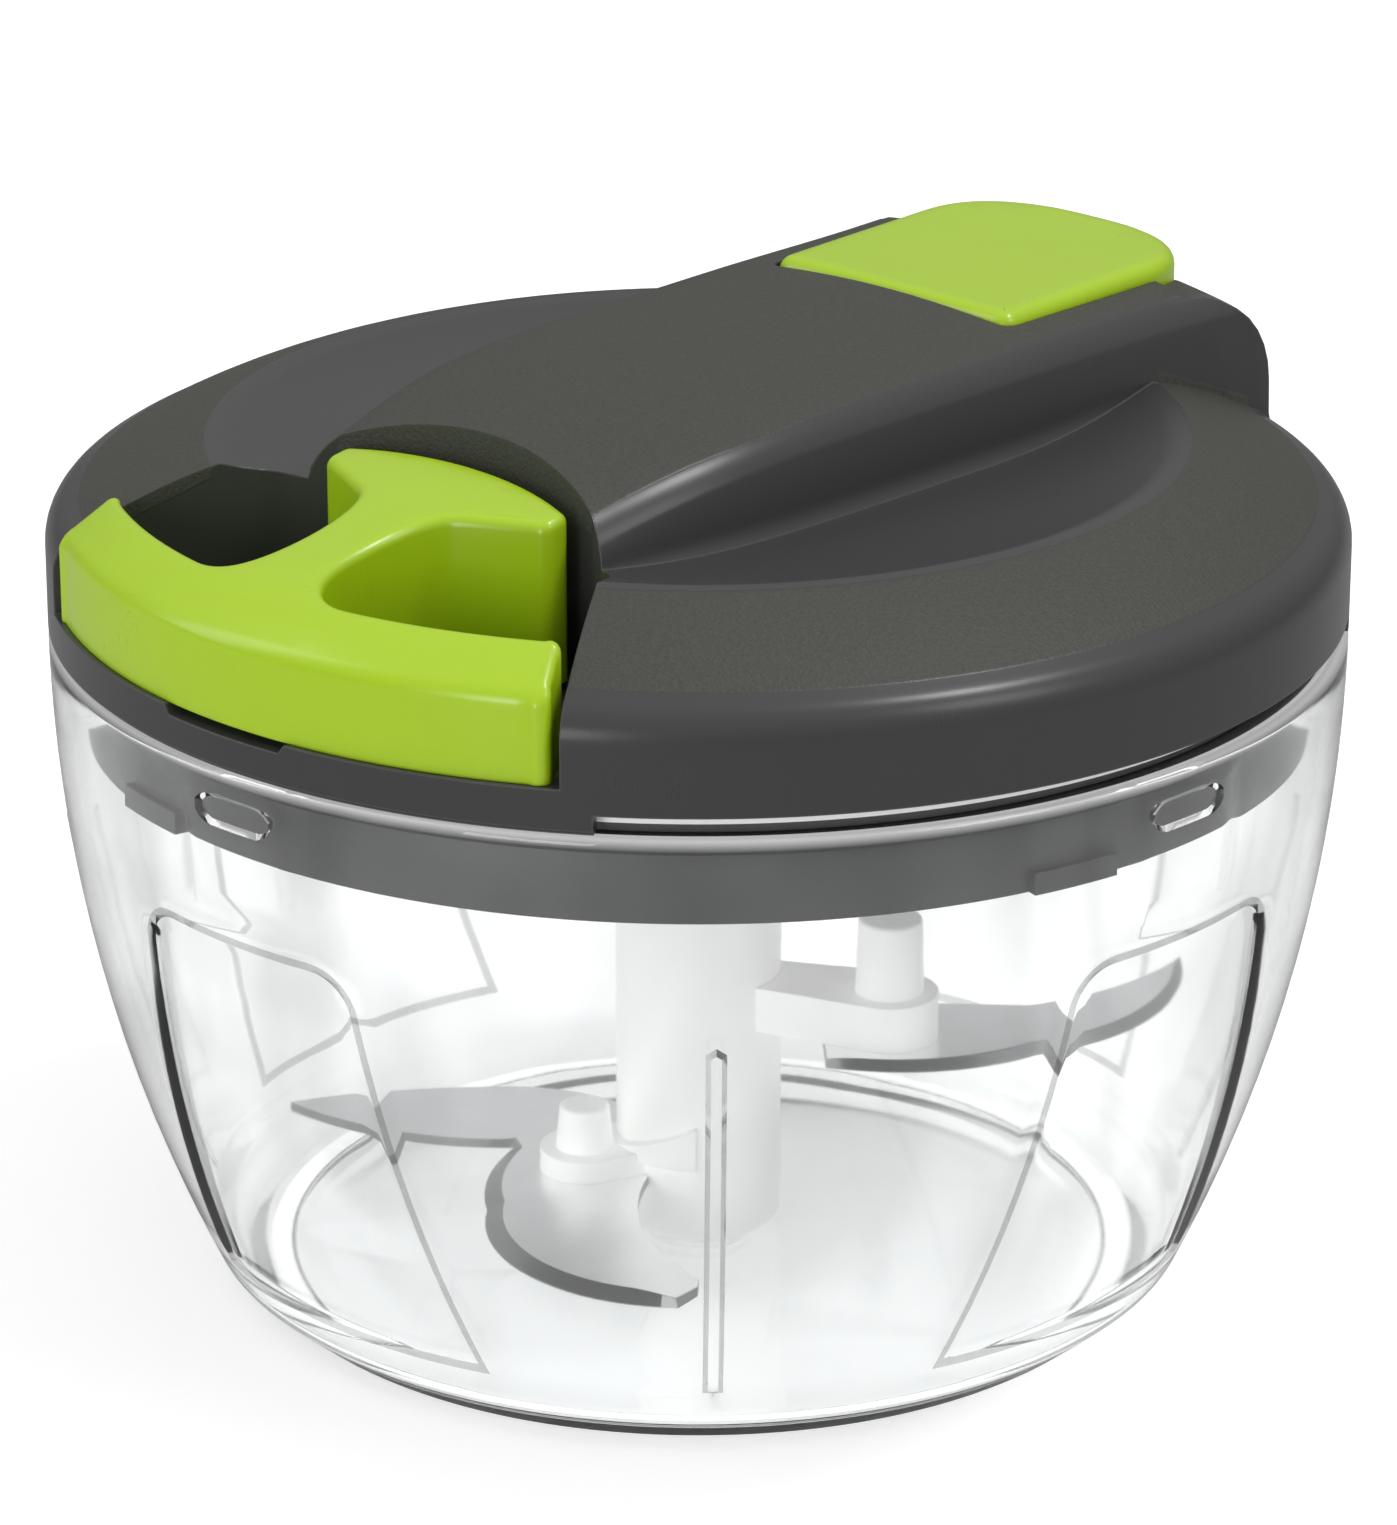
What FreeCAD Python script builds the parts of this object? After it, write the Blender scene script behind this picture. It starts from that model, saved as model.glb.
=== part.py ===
"""Pull-string food chopper: a clear bowl, three curved blades on a hub, and a lid with a string drum.

Millimetres, +Z up. The origin is the middle of the bowl's base. The pull handle faces -Y and the
raised grip runs over the lid along Y, with the lock button on its far half.
"""

import FreeCAD
import Part
import os
from math import acos, asin, atan2, cos, degrees, radians, sin, sqrt, tan

V = FreeCAD.Vector
UP = V(0, 0, 1)
ORIGIN = V(0, 0, 0)

# Gaps that many pieces share
REST_GAP = 0.05
RUNNING_GAP = 0.06
END_GAP = 0.1
HOLE_GAP = 0.1

# Bowl
BOWL_R = 65.0
BOWL_H = 70.2
BASE_R = 45.4
HEEL_R = 50.3
HEEL_Z = 4.1
BOWL_WALL = 1.95
FLOOR_Z = 2.6
FOOT_W = 3.0
FOOT_H = 0.8
FLOOR_BLEND = 4.0
QUARTERS = (0, 90, 180, 270)
PANEL_DEPTH = 0.45
PANEL_TOP_Z = 53.0
PANEL_LOW_Z = 8.0
PANEL_TOP_ANGLE = 13.0
PANEL_LOW_ANGLE = 21.5
PANEL_CORNER = 5.0
RIB_W = 2.0
RIB_OUT = 0.7
RIB_TOP_Z = 49.0
RIB_LOW_Z = 8.0

# Twist lock: catches inside the bowl, lugs on the lid's skirt
CATCH_GAP = 0.35
CATCH_LOW_Z = 63.8
CATCH_TOP_Z = 66.9
CATCH_HALF_ANGLE = 4.8
LUG_GAP = 0.36
LUG_H = 2.2
LUG_HALF_ANGLE = 4.3
LUG_OFFSET = -12.5

# Spindle and blades. Angles run anticlockwise from the handle's side, seen from above.
SPINDLE_R = 2.5
SPINDLE_TOP_Z = 30.0
SPINDLE_SEAT_Z = 1.0
BOSS_R = 5.5
BOSS_Z = 3.4
HUB_R = 8.5
HUB_TOP_Z = 61.0
HUB_CHAMFER = 1.0
BLADE_T = 1.0
BLADE_SET_ANGLE = 43.5
BLADE_LOWER_R = 44.8
BLADE_UPPER_R = 53.0
BLADE_HUB_GAP = 0.2
ARM_NECK = 3.4
STUD_R = 1.5
CAP_R = 2.4
CAP_T = 0.6
ARM_LOWER = {"z": 10.6, "t": 2.4, "reach": 12.5, "angle": -69.6, "end_r": 4.6,
             "post_h": 4.7, "post_r": 3.0, "post_top_r": 2.55}
ARM_UPPER = {"z": 26.3, "t": 4.8, "reach": 20.5, "angle": 71.2, "end_r": 5.0,
             "post_h": 8.0, "post_r": 3.5, "post_top_r": 3.3}
WEB_T = 0.8
WEB_HALF_ANGLE = 42.0
WEB_TOP_Z = 16.8

# Drive dogs between the hub's plug and the drum's sleeve
DOG_HALF_ANGLE = 6.0
DOG_TURNS = (0, 120, 240)
PLUG_R = 6.4
PLUG_DOG_R = 8.7
PLUG_H = 5.8
SLEEVE_IN_R = 9.2
SLEEVE_DOG_R = 6.9
SLEEVE_OUT_R = 11.4
SLEEVE_LOW_Z = 61.6

# Lid cover
RIM_GAP = 0.5
LID_WALL = 2.0
REST_IN = 0.5
SHOULDER_Z = 78.8
SHOULDER_IN = 2.7
SHOULDER_TOP_Z = 82.8
DISH_R = 48.2
DISH_Z = 88.9
DISH_DEPTH = 2.6
DISH_FLAT_R = 30.0
GRIP_END_IN = 0.3
GRIP_END_ROUND = 10.0
EDGE_NOTCH_H = 1.6
EDGE_NOTCH_FROM = 35.0
EDGE_NOTCH_TO = 125.0
GRIP_OVERRUN = 2.0
# Grip stations along Y: y, half width at the ridges, half width of the foot, then the heights of
# the crown, the ridges and the foot
GRIP = ((-34.5, 18.5, 22.5, 93.9, 91.2, 85.6), (-14.0, 21.4, 25.5, 96.7, 94.8, 85.6),
        (20.0, 22.1, 26.5, 97.2, 95.5, 85.6), (44.0, 22.3, 29.0, 97.2, 95.5, 85.2),
        (BOWL_R + GRIP_OVERRUN, 24.0, 35.0, 97.0, 95.3, 76.0))
GRIP_ROUND = 1.8

# Handle pocket
POCKET_HALF_ANGLE = 32.3
POCKET_BACK_Y = -29.0
POCKET_CORNER_R = 42.0
POCKET_FLOOR_Z = 73.8
POCKET_LIP_Z = 74.7
POCKET_LIP_IN = 2.4
POCKET_WALL = 1.8
LIP_NOTCH_W = 15.0
LIP_NOTCH_H = 1.5

# Lid base with its skirt
SKIRT_GAP = 1.5
SKIRT_WALL = 2.0
SKIRT_LOW_Z = 60.8
FLANGE_Z = 70.9
FLANGE_T = 1.6
FLANGE_GAP = 0.1
PLATE_Z = 62.6
PLATE_T = 2.0
COLLAR_GAP = 0.6
COLLAR_WALL = 2.0
COLLAR_TOP_Z = 66.5
SEAL_Z = 67.9
SEAL_H = 1.6
SEAL_DEPTH = 0.9
SEAL_ROUND = 0.6
SEAL_GAP = 0.1
SCREW_CIRCLE_R = 47.0
SCREW_ANGLES = (60, 120, 240, 300)
POST_R = 3.4
SCREW_R = 1.4
SCREW_HEAD_R = 2.7
SCREW_HEAD_H = 1.8
SCREW_LENGTH = 10.0
SCREW_SLOT_W = 0.7
SCREW_SLOT_DEPTH = 0.8

# String drum and its spring
DRUM_R = 25.0
DRUM_FLOOR_Z = 70.6
DRUM_FLOOR_T = 2.0
DRUM_FLANGE_T = 2.0
STRING_R = 0.8
STRING_LOOP_R = 20.5
STRING_PITCH = 2.0
STRING_TURNS = 3 + 1 / 3
WINDING_LOW_GAP = 0.23
WINDING_TOP_GAP = 0.5
STRING_TOUCH = 0.1
DRUM_CUP_WALL = 2.0
NOTCHES = 24
NOTCH_W = 3.2
NOTCH_DEPTH = 3.2
AXLE_R = 2.5
AXLE_TOP_Z = 90.0
AXLE_HEAD_R = 4.5
AXLE_HEAD_H = 2.2
CROSS_L = 6.0
CROSS_W = 1.0
CROSS_DEPTH = 1.0
WASHER_R = 5.5
WASHER_T = 0.6
ARBOR_R = 5.0
ARBOR_ROOT_R = 7.5
ARBOR_ROOT_Z = 85.5
SPRING_H = 8.0
SPRING_T = 0.5
SPRING_TURNS = 5

# Eyelet
EYELET_R = 2.6
EYELET_BORE_R = 1.3
EYELET_FLANGE_R = 4.0
EYELET_FLANGE_T = 0.7
BEND_R = 2.0
FEED_LEAD = 0.5

# Pull handle
HANDLE_IN = 0.6
BAR_HALF_ANGLE = 31.2
BAR_DEPTH = 5.8
BAR_FACE_TOP_Z = 83.2
# The handle's top: distance in from the bar's inner side, and height
HANDLE_TOP = ((0.0, 87.1), (11.6, 89.6), (22.6, 91.6), (32.6, 92.6))
STEM_HALF = 3.8
STEM_BLEND = 6.5
BLOCK_HALF = 15.2
BLOCK_BACK_Y = -31.0
BLOCK_SIDE_Y = -33.6
BLOCK_FRONT_Y = -42.5
BLOCK_CORNER_Y = -36.6
HANDLE_ROUND = 1.0
KNOT_R = 2.2
KNOT_WELL_R = 3.0
STRING_SLOT_W = 2.0
KNOT_Y = -37.2

# Lock button, bolt and carrier
BUTTON_HALF = 16.0
BUTTON_NEAR_Y = 28.0
BUTTON_END_IN = 3.3
BUTTON_TOP_Z = 97.9
BUTTON_DROP = 0.8
BUTTON_LOW_Z = 92.8
BUTTON_FLANGE_T = 1.4
BUTTON_FLANGE_W = 1.2
BUTTON_FLANGE_BACK = 11.4
BUTTON_ROOF = 1.2
BUTTON_GAP = 0.35
BUTTON_TRAVEL = 3.0
BUTTON_ROUND = 2.2
CARRIER_TOP_Z = 81.6
CARRIER_T = 2.0
CARRIER_HALF = 15.0
CARRIER_NEAR_Y = 28.0
CARRIER_GAP = 0.6
CARRIER_BACK = 2.55
CARRIER_LEG = 4.0
BOLT_HALF = 4.0
BOLT_TIP_HALF = 1.1
BOLT_TIP_GAP = 0.6
BOLT_TIP_T = 1.4
BOLT_H = 4.6
BOLT_SHOULDER_Y = 36.0
BOLT_FAR_Y = 45.0
RAIL_W = 2.0
RAIL_H = 3.2
STOP_T = 1.2
RAIL_GAP = 0.3
WEDGE_GAP = 0.3
WEDGE_T = 3.0
WEDGE_CLEAR = 0.4
BOLT_SPRING_T = 0.4
BOLT_SPRING_H = 1.8
BOLT_SPRING_FOLDS = 4
BUTTON_SPRING_R = 3.0
BUTTON_SPRING_WIRE_R = 0.45
BUTTON_SPRING_TURNS = 4
SPRING_POST_R = 2.0
SPRING_POST_H = 2.0

# Places that several pieces share
WINDING_H = STRING_PITCH * STRING_TURNS + 2 * STRING_R
GROOVE_H = WINDING_LOW_GAP + WINDING_H + WINDING_TOP_GAP
DRUM_CHAMBER_Z = DRUM_FLOOR_Z + DRUM_FLOOR_T
DRUM_TOP_Z = DRUM_CHAMBER_Z + GROOVE_H + DRUM_FLANGE_T
GROOVE_ROOT_R = STRING_LOOP_R - STRING_R - STRING_TOUCH
STRING_Z = DRUM_CHAMBER_Z + GROOVE_H - STRING_R - WINDING_TOP_GAP
LID_LOW_Z = BOWL_H + RIM_GAP
SKIRT_R = BOWL_R - BOWL_WALL - SKIRT_GAP
SKIRT_IN_R = SKIRT_R - SKIRT_WALL
CATCH_R = SKIRT_R + CATCH_GAP
GRIP_END_R = BOWL_R - GRIP_END_IN
HANDLE_R = BOWL_R - HANDLE_IN
BAR_IN_R = HANDLE_R - BAR_DEPTH
CARRIER_FAR_Y = SKIRT_IN_R - CARRIER_BACK
BUTTON_END_R = GRIP_END_R - BUTTON_END_IN
HUB_LOW_Z = BOSS_Z + REST_GAP
HANDLE_Z = POCKET_LIP_Z + REST_GAP
BOLT_Z = CARRIER_TOP_Z + REST_GAP
WEDGE_LOW_Z = CARRIER_TOP_Z + BUTTON_TRAVEL + WEDGE_CLEAR
WEDGE_CORNER_Y = BOLT_FAR_Y + BOLT_Z + WEDGE_GAP * sqrt(2) - WEDGE_LOW_Z
BUTTON_SPRING_Y = (WEDGE_CORNER_Y + WEDGE_T + BUTTON_END_R - LID_WALL) / 2
DRUM_WASHER_Z = DRUM_FLOOR_Z - END_GAP - WASHER_T
EYELET_BACK_Y = POCKET_BACK_Y + POCKET_WALL + EYELET_FLANGE_T
WALL_ARC_R = ((BOWL_H - HEEL_Z) ** 2 + (BOWL_R - HEEL_R) ** 2) / (2 * (BOWL_R - HEEL_R))


def polar(r, angle, z=0.0):
    """Point at radius r, angle degrees anticlockwise from -Y."""
    a = radians(angle)
    return V(r * sin(a), -r * cos(a), z)


def turned(shape, angle):
    """Copy of a shape turned about the vertical axis."""
    copy = shape.copy()
    copy.rotate(ORIGIN, UP, angle)
    return copy


def outline(points, place):
    """Closed wire. A point is one pair, or two pairs for an arc through the first to the second."""
    edges = []
    here = place(*points[0])
    for point in points[1:] + [points[0]]:
        if isinstance(point[0], tuple):
            middle, there = place(*point[0]), place(*point[1])
            edges.append(Part.Arc(here, middle, there).toShape())
        else:
            there = place(*point)
            if here.distanceToPoint(there) > 1e-6:
                edges.append(Part.makeLine(here, there))
        here = there
    return Part.Wire(edges)


def radial(x, z):
    return V(x, 0, z)


def revolved(points, angle=360.0):
    """Solid of revolution about Z from (r, z) points."""
    face = Part.Face(outline(points, radial))
    return face.revolve(ORIGIN, UP, angle)


def prism(points, z0, z1):
    """Vertical prism over an (x, y) outline."""
    face = Part.Face(outline(points, lambda x, y: V(x, y, z0)))
    return face.extrude(V(0, 0, z1 - z0))


def cylinder(r, z0, z1, x=0.0, y=0.0):
    return Part.makeCylinder(r, z1 - z0, V(x, y, z0), UP)


def sector(r0, r1, half_angle, centre_angle, z0, z1):
    """Block of a ring."""
    block = revolved([(r0, z0), (r1, z0), (r1, z1), (r0, z1)], 2 * half_angle)
    return turned(block, centre_angle - half_angle - 90)


def box(x0, x1, y0, y1, z0, z1):
    return Part.makeBox(x1 - x0, y1 - y0, z1 - z0, V(x0, y0, z0))


def tube(path, r):
    """Round rod swept along a wire."""
    edge = path.OrderedEdges[0]
    start = edge.valueAt(edge.FirstParameter)
    heading = edge.tangentAt(edge.FirstParameter)
    ring = Part.Wire([Part.Circle(start, heading, r).toShape()])
    return path.makePipeShell([ring], True, False)


def least_gap(path, r, arcs_per_turn):
    """Least clear distance between one part of a wound rod and any part half a turn or more away."""
    points = []
    for edge in path.OrderedEdges:
        a, b = edge.FirstParameter, edge.LastParameter
        points += [edge.valueAt(a + (b - a) * k / 6) for k in range(6)]
    half_turn = 3 * arcs_per_turn
    return min(p.distanceToPoint(q) for i, p in enumerate(points) for q in points[i + half_turn:]) - 2 * r


def helix(r, z0, pitch, turns, arcs_per_turn, start_angle, centre=ORIGIN):
    """Wire of arcs that wind anticlockwise, and climb where the pitch is above zero. Angles as in polar."""
    edges = []

    def at(step):
        share = step / arcs_per_turn
        return polar(r, start_angle + 360 * share, z0 + pitch * share) + centre

    for step in range(round(turns * arcs_per_turn)):
        edges.append(Part.Arc(at(step), at(step + 0.5), at(step + 1)).toShape())
    return Part.Wire(edges)


def bowl_wall_r(z, inset=0.0):
    """Radius of the bowl's wall at a height, or of the surface inset from it."""
    return BOWL_R - WALL_ARC_R + sqrt((WALL_ARC_R - inset) ** 2 - (BOWL_H - z) ** 2)


def wall_arc(z_from, z_to, inset=0.0):
    """End point pair of the wall's arc between two heights."""
    middle = (z_from + z_to) / 2
    return ((bowl_wall_r(middle, inset), middle), (bowl_wall_r(z_to, inset), z_to))


def wall_band(z0, z1, outset, inset):
    """Ring of revolution that follows the bowl's wall, from inset inside it to outset outside."""
    low_out, low_in = (bowl_wall_r(z0, -outset), z0), (bowl_wall_r(z0, inset), z0)
    top_in = (bowl_wall_r(z1, inset), z1)
    return revolved([low_out, wall_arc(z0, z1, -outset), top_in, wall_arc(z1, z0, inset)])


def facing(points):
    """Prism that goes out along -Y over an (x, z) outline, to cut or keep part of a wall."""
    face = Part.Face(outline(points, lambda x, z: V(x, 0, z)))
    return face.extrude(V(0, -2 * BOWL_R, 0))


def panel_window():
    """Arch outline of a side panel: rounded above, flaring towards the base."""
    top = BOWL_R * sin(radians(PANEL_TOP_ANGLE))
    low = HEEL_R * sin(radians(PANEL_LOW_ANGLE))
    c = PANEL_CORNER
    cut = c * (1 - sqrt(0.5))
    return facing([(-low, PANEL_LOW_Z), (low, PANEL_LOW_Z), (top, PANEL_TOP_Z - c),
                   ((top - cut, PANEL_TOP_Z - cut), (top - c, PANEL_TOP_Z)), (c - top, PANEL_TOP_Z),
                   ((cut - top, PANEL_TOP_Z - cut), (-top, PANEL_TOP_Z - c))])


def rib_window():
    h = RIB_W / 2
    return facing([(-h, RIB_LOW_Z), (h, RIB_LOW_Z), (h, RIB_TOP_Z - h),
                   ((0, RIB_TOP_Z), (-h, RIB_TOP_Z - h))])


def make_bowl():
    inner_low = FLOOR_Z + FLOOR_BLEND
    inner_r = bowl_wall_r(inner_low, BOWL_WALL)
    blend_r = inner_r - FLOOR_BLEND
    rim_in = bowl_wall_r(BOWL_H, BOWL_WALL)
    rim_mid = (BOWL_R + rim_in) / 2
    half_rim = (BOWL_R - rim_in) / 2
    shoulder = BOWL_H - half_rim
    slant = FLOOR_BLEND * 0.25
    body = revolved([
        (0, FOOT_H), (BASE_R - FOOT_W, FOOT_H), (BASE_R - FOOT_W, 0), (BASE_R, 0), (HEEL_R, HEEL_Z),
        wall_arc(HEEL_Z, shoulder), ((rim_mid, BOWL_H), (bowl_wall_r(shoulder, BOWL_WALL), shoulder)),
        wall_arc(shoulder, inner_low, BOWL_WALL),
        ((blend_r + 3 * slant, FLOOR_Z + slant), (blend_r, FLOOR_Z)),
        (BOSS_R, FLOOR_Z), (BOSS_R, BOSS_Z), (0, BOSS_Z)])
    skin = wall_band(PANEL_LOW_Z, PANEL_TOP_Z, 1.0, PANEL_DEPTH)
    panel = skin.common(panel_window())
    rib = wall_band(RIB_LOW_Z, RIB_TOP_Z, RIB_OUT, BOWL_WALL / 2).common(rib_window())
    for quarter in QUARTERS:
        body = body.cut(turned(panel, quarter))
        body = body.fuse(turned(rib, quarter + 45))
        catch = sector(CATCH_R, rim_in, CATCH_HALF_ANGLE, quarter, CATCH_LOW_Z, CATCH_TOP_Z)
        body = body.fuse(catch)
    body = body.cut(cylinder(SPINDLE_R, SPINDLE_SEAT_Z, BOSS_Z + 1))
    return body.removeSplitter()


def make_spindle():
    tip = SPINDLE_R * 0.4
    return revolved([(0, SPINDLE_SEAT_Z), (SPINDLE_R, SPINDLE_SEAT_Z), (SPINDLE_R, SPINDLE_TOP_Z - tip),
                     ((SPINDLE_R - tip * 0.3, SPINDLE_TOP_Z - tip * 0.3), (SPINDLE_R - tip, SPINDLE_TOP_Z)),
                     (0, SPINDLE_TOP_Z)])


def arm_solid(arm):
    """Arm from the hub to a rounded end, with its post above and its stud below."""
    z0, z1 = arm["z"], arm["z"] + arm["t"]
    reach, end_r = arm["reach"], arm["end_r"]
    lean = asin((ARM_NECK - end_r) / reach)
    root_x, root_y = ARM_NECK * cos(lean), -ARM_NECK * sin(lean)
    tip_x, tip_y = end_r * cos(lean), -reach - end_r * sin(lean)
    plan = prism([(-root_x, 0), (root_x, 0), (root_x, root_y), (tip_x, tip_y),
                  ((0, -reach - end_r), (-tip_x, tip_y)), (-root_x, root_y)], z0, z1)
    post = Part.makeCone(arm["post_r"], arm["post_top_r"], arm["post_h"], V(0, -reach, z1), UP)
    stud = cylinder(STUD_R, z0 - BLADE_T - CAP_T, z0, 0, -reach)
    return turned(plan.fuse(post).fuse(stud), arm["angle"])


def hub_web():
    """Web round the hub from the lower arm's root, whose top climbs towards the hub's front."""
    low = ARM_LOWER["z"] + ARM_LOWER["t"]
    ring = sector(HUB_R - WEB_T, HUB_R + WEB_T, WEB_HALF_ANGLE, -WEB_HALF_ANGLE, low - WEB_T, WEB_TOP_Z)
    far = -2 * HUB_R
    side = outline([(far, low - WEB_T), (0, low - WEB_T), (0, WEB_TOP_Z), (-HUB_R, low), (far, low)],
                   lambda x, z: V(x, far, z))
    return ring.common(Part.Face(side).extrude(V(0, 4 * HUB_R, 0)))


def make_hub():
    bore_top = SPINDLE_TOP_Z + 1
    body = revolved([(0, HUB_LOW_Z), (HUB_R - HUB_CHAMFER, HUB_LOW_Z), (HUB_R, HUB_LOW_Z + HUB_CHAMFER),
                     (HUB_R, HUB_TOP_Z), (PLUG_R, HUB_TOP_Z), (PLUG_R, HUB_TOP_Z + PLUG_H),
                     (0, HUB_TOP_Z + PLUG_H)])
    for arm in (ARM_LOWER, ARM_UPPER):
        body = body.fuse(arm_solid(arm))
    body = body.fuse(hub_web())
    for turn in DOG_TURNS:
        dog = sector(PLUG_R - 1, PLUG_DOG_R, DOG_HALF_ANGLE, turn + 60, HUB_TOP_Z - 1, HUB_TOP_Z + PLUG_H)
        body = body.fuse(dog)
    body = body.cut(cylinder(SPINDLE_R + RUNNING_GAP, HUB_LOW_Z - 1, bore_top))
    return turned(body.removeSplitter(), BLADE_SET_ANGLE)


def scaled(point, size):
    """Outline point given in shares of a size."""
    if isinstance(point[0], tuple):
        return scaled(point[0], size), scaled(point[1], size)
    return point[0] * size, point[1] * size


def blade(arm, tip_r, shares):
    """Flat blade under an arm. Its plan is in shares of its tip's radius and in the blades' own directions,
    which BLADE_SET_ANGLE turns."""
    top = arm["z"]
    plate = prism([scaled(point, tip_r) for point in shares], top - BLADE_T, top)
    plate = plate.cut(cylinder(HUB_R + BLADE_HUB_GAP, top - 2 * BLADE_T, top + 1))
    centre = polar(arm["reach"], arm["angle"])
    plate = plate.cut(cylinder(STUD_R + HOLE_GAP, top - 2 * BLADE_T, top + 1, centre.x, centre.y))
    return turned(plate, BLADE_SET_ANGLE)


def make_blade_lower():
    """Two wings in one plate: a straight one that points away and a hooked one in front."""
    return blade(ARM_LOWER, BLADE_LOWER_R, [
        (-0.967, 0.252), ((-0.770, 0.317), (-0.498, 0.357)), ((-0.270, 0.318), (-0.112, 0.175)), (0.0, 0.0),
        (-0.109, -0.134), ((-0.136, -0.357), (0.004, -0.692)), (0.0, -0.732), (-0.045, -0.792),
        ((-0.339, -0.670), (-0.480, -0.290)), ((-0.482, -0.100), (-0.431, 0.049)),
        ((-0.770, 0.120), (-0.967, 0.252))])


def make_blade_upper():
    return blade(ARM_UPPER, BLADE_UPPER_R, [
        (0.242, -0.242), ((0.430, -0.262), (0.645, -0.181)), ((0.853, -0.042), (0.966, 0.255)),
        ((0.823, 0.106), (0.642, 0.011)), ((0.434, 0.022), (0.234, 0.019))])


def make_cap(arm):
    """Ring staked on a stud, under its blade."""
    centre = polar(arm["reach"], arm["angle"])
    z1 = arm["z"] - BLADE_T
    ring = cylinder(CAP_R, z1 - CAP_T, z1, centre.x, centre.y)
    ring = ring.cut(cylinder(STUD_R, z1 - 2 * CAP_T, z1 + 1, centre.x, centre.y))
    return turned(ring, BLADE_SET_ANGLE)


def dome(t=0.0):
    """The lid's round body without dish or grip, or its inside a wall thickness t in."""
    low = LID_LOW_Z - t
    crown_z = DISH_Z + 1.4
    slope_r = (BOWL_R - SHOULDER_IN + DISH_R) / 2
    slope_z = (SHOULDER_TOP_Z + DISH_Z) / 2 + 0.55
    turn_r = BOWL_R - SHOULDER_IN * 0.25
    turn_z = SHOULDER_Z + (SHOULDER_TOP_Z - SHOULDER_Z) * 0.6
    return revolved([(0, low), (BOWL_R - t, low), (BOWL_R - t, SHOULDER_Z - t / 2),
                     ((turn_r - t, turn_z - t / 2), (BOWL_R - SHOULDER_IN - t * 0.8, SHOULDER_TOP_Z - t)),
                     ((slope_r - t / 2, slope_z - t), (DISH_R, DISH_Z - t)), (0, crown_z - t)])


def dish(t=0.0):
    """What the round finger dish takes out of the dome. A wall t thick is left under it."""
    floor = DISH_Z - DISH_DEPTH - t
    edge = DISH_Z - t
    middle_r = (DISH_FLAT_R + DISH_R) / 2
    middle_z = floor + DISH_DEPTH * 0.28
    top = DISH_Z + 12
    return revolved([(0, floor), (DISH_FLAT_R, floor), ((middle_r, middle_z), (DISH_R, edge)),
                     (DISH_R, top), (0, top)])


def grip_section(y, top_half, foot_half, crown_z, ridge_z, foot_z, t=0.0):
    """Cross-section of the grip: crowned top, rounded shoulders, steep flanks and a flared foot."""
    top, foot = top_half - t, foot_half - t
    shoulder_z = ridge_z - t
    r = GRIP_ROUND
    foot_z = foot_z - t
    low = foot_z - 8
    flank = top + r * 0.45
    round_x, round_z = top - r * 0.1, shoulder_z - r * 0.5
    flank_z = shoulder_z - r * 1.2
    start_x, start_z = top - r, shoulder_z + 0.3
    flare_x, flare_z = flank + 0.5, foot_z + 2.6
    bend_x, bend_z = flank + 1.4, foot_z + 0.7
    points = [(start_x, start_z), ((round_x, round_z), (flank, flank_z)), (flare_x, flare_z),
              ((bend_x, bend_z), (foot, foot_z)), (foot, low), (-foot, low), (-foot, foot_z),
              ((-bend_x, bend_z), (-flare_x, flare_z)), (-flank, flank_z),
              ((-round_x, round_z), (-start_x, start_z))]
    edges = outline(points, lambda x, z: V(x, y, z)).Edges[:-1]
    crown = Part.Arc(V(-start_x, y, start_z), V(0, y, crown_z - t), V(start_x, y, start_z))
    return Part.Wire(edges + [crown.toShape()])


def grip(t=0.0):
    """The raised grip over the lid, rounded down at its far end."""
    stations = [grip_section(*station, t) for station in GRIP]
    bar = Part.makeLoft(stations, True, False)
    end = GRIP_END_R - t
    high = GRIP[2][3] + 6
    turn_z = GRIP[3][4] - t
    rnd = GRIP_END_ROUND
    keep = revolved([(0, LID_LOW_Z), (end, LID_LOW_Z), (end, turn_z - rnd),
                     ((end - rnd * 0.29, turn_z - rnd * 0.29), (end - rnd, turn_z)),
                     (end - 2 * rnd, high), (0, high)])
    return bar.common(keep)


def pocket(t=0.0):
    """The handle's pocket, open at the front and above, or the space its walls t thick take up."""
    side = radians(POCKET_HALF_ANGLE)
    corner = polar(POCKET_CORNER_R, POCKET_HALF_ANGLE)
    far = polar(2 * BOWL_R, POCKET_HALF_ANGLE)
    out_x, out_y = t * cos(side), t * sin(side)
    cx, cy = corner.x + out_x, corner.y + out_y
    fx, fy = far.x + out_x, far.y + out_y
    back = POCKET_BACK_Y + t
    ease = 3.0
    ax, ay = cx - ease * 0.85, cy + ease * 0.42
    bx, by = cx + ease * sin(side), cy - ease * cos(side)
    mx, my = (ax + bx) / 2 + 0.55, (ay + by) / 2 + 0.45
    plan = [(-fx, fy), (fx, fy), (bx, by), ((mx, my), (ax, ay)), ((0, back), (-ax, ay)),
            ((-mx, my), (-bx, by))]
    return prism(plan, POCKET_FLOOR_Z - t, DISH_Z + 20)


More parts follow.
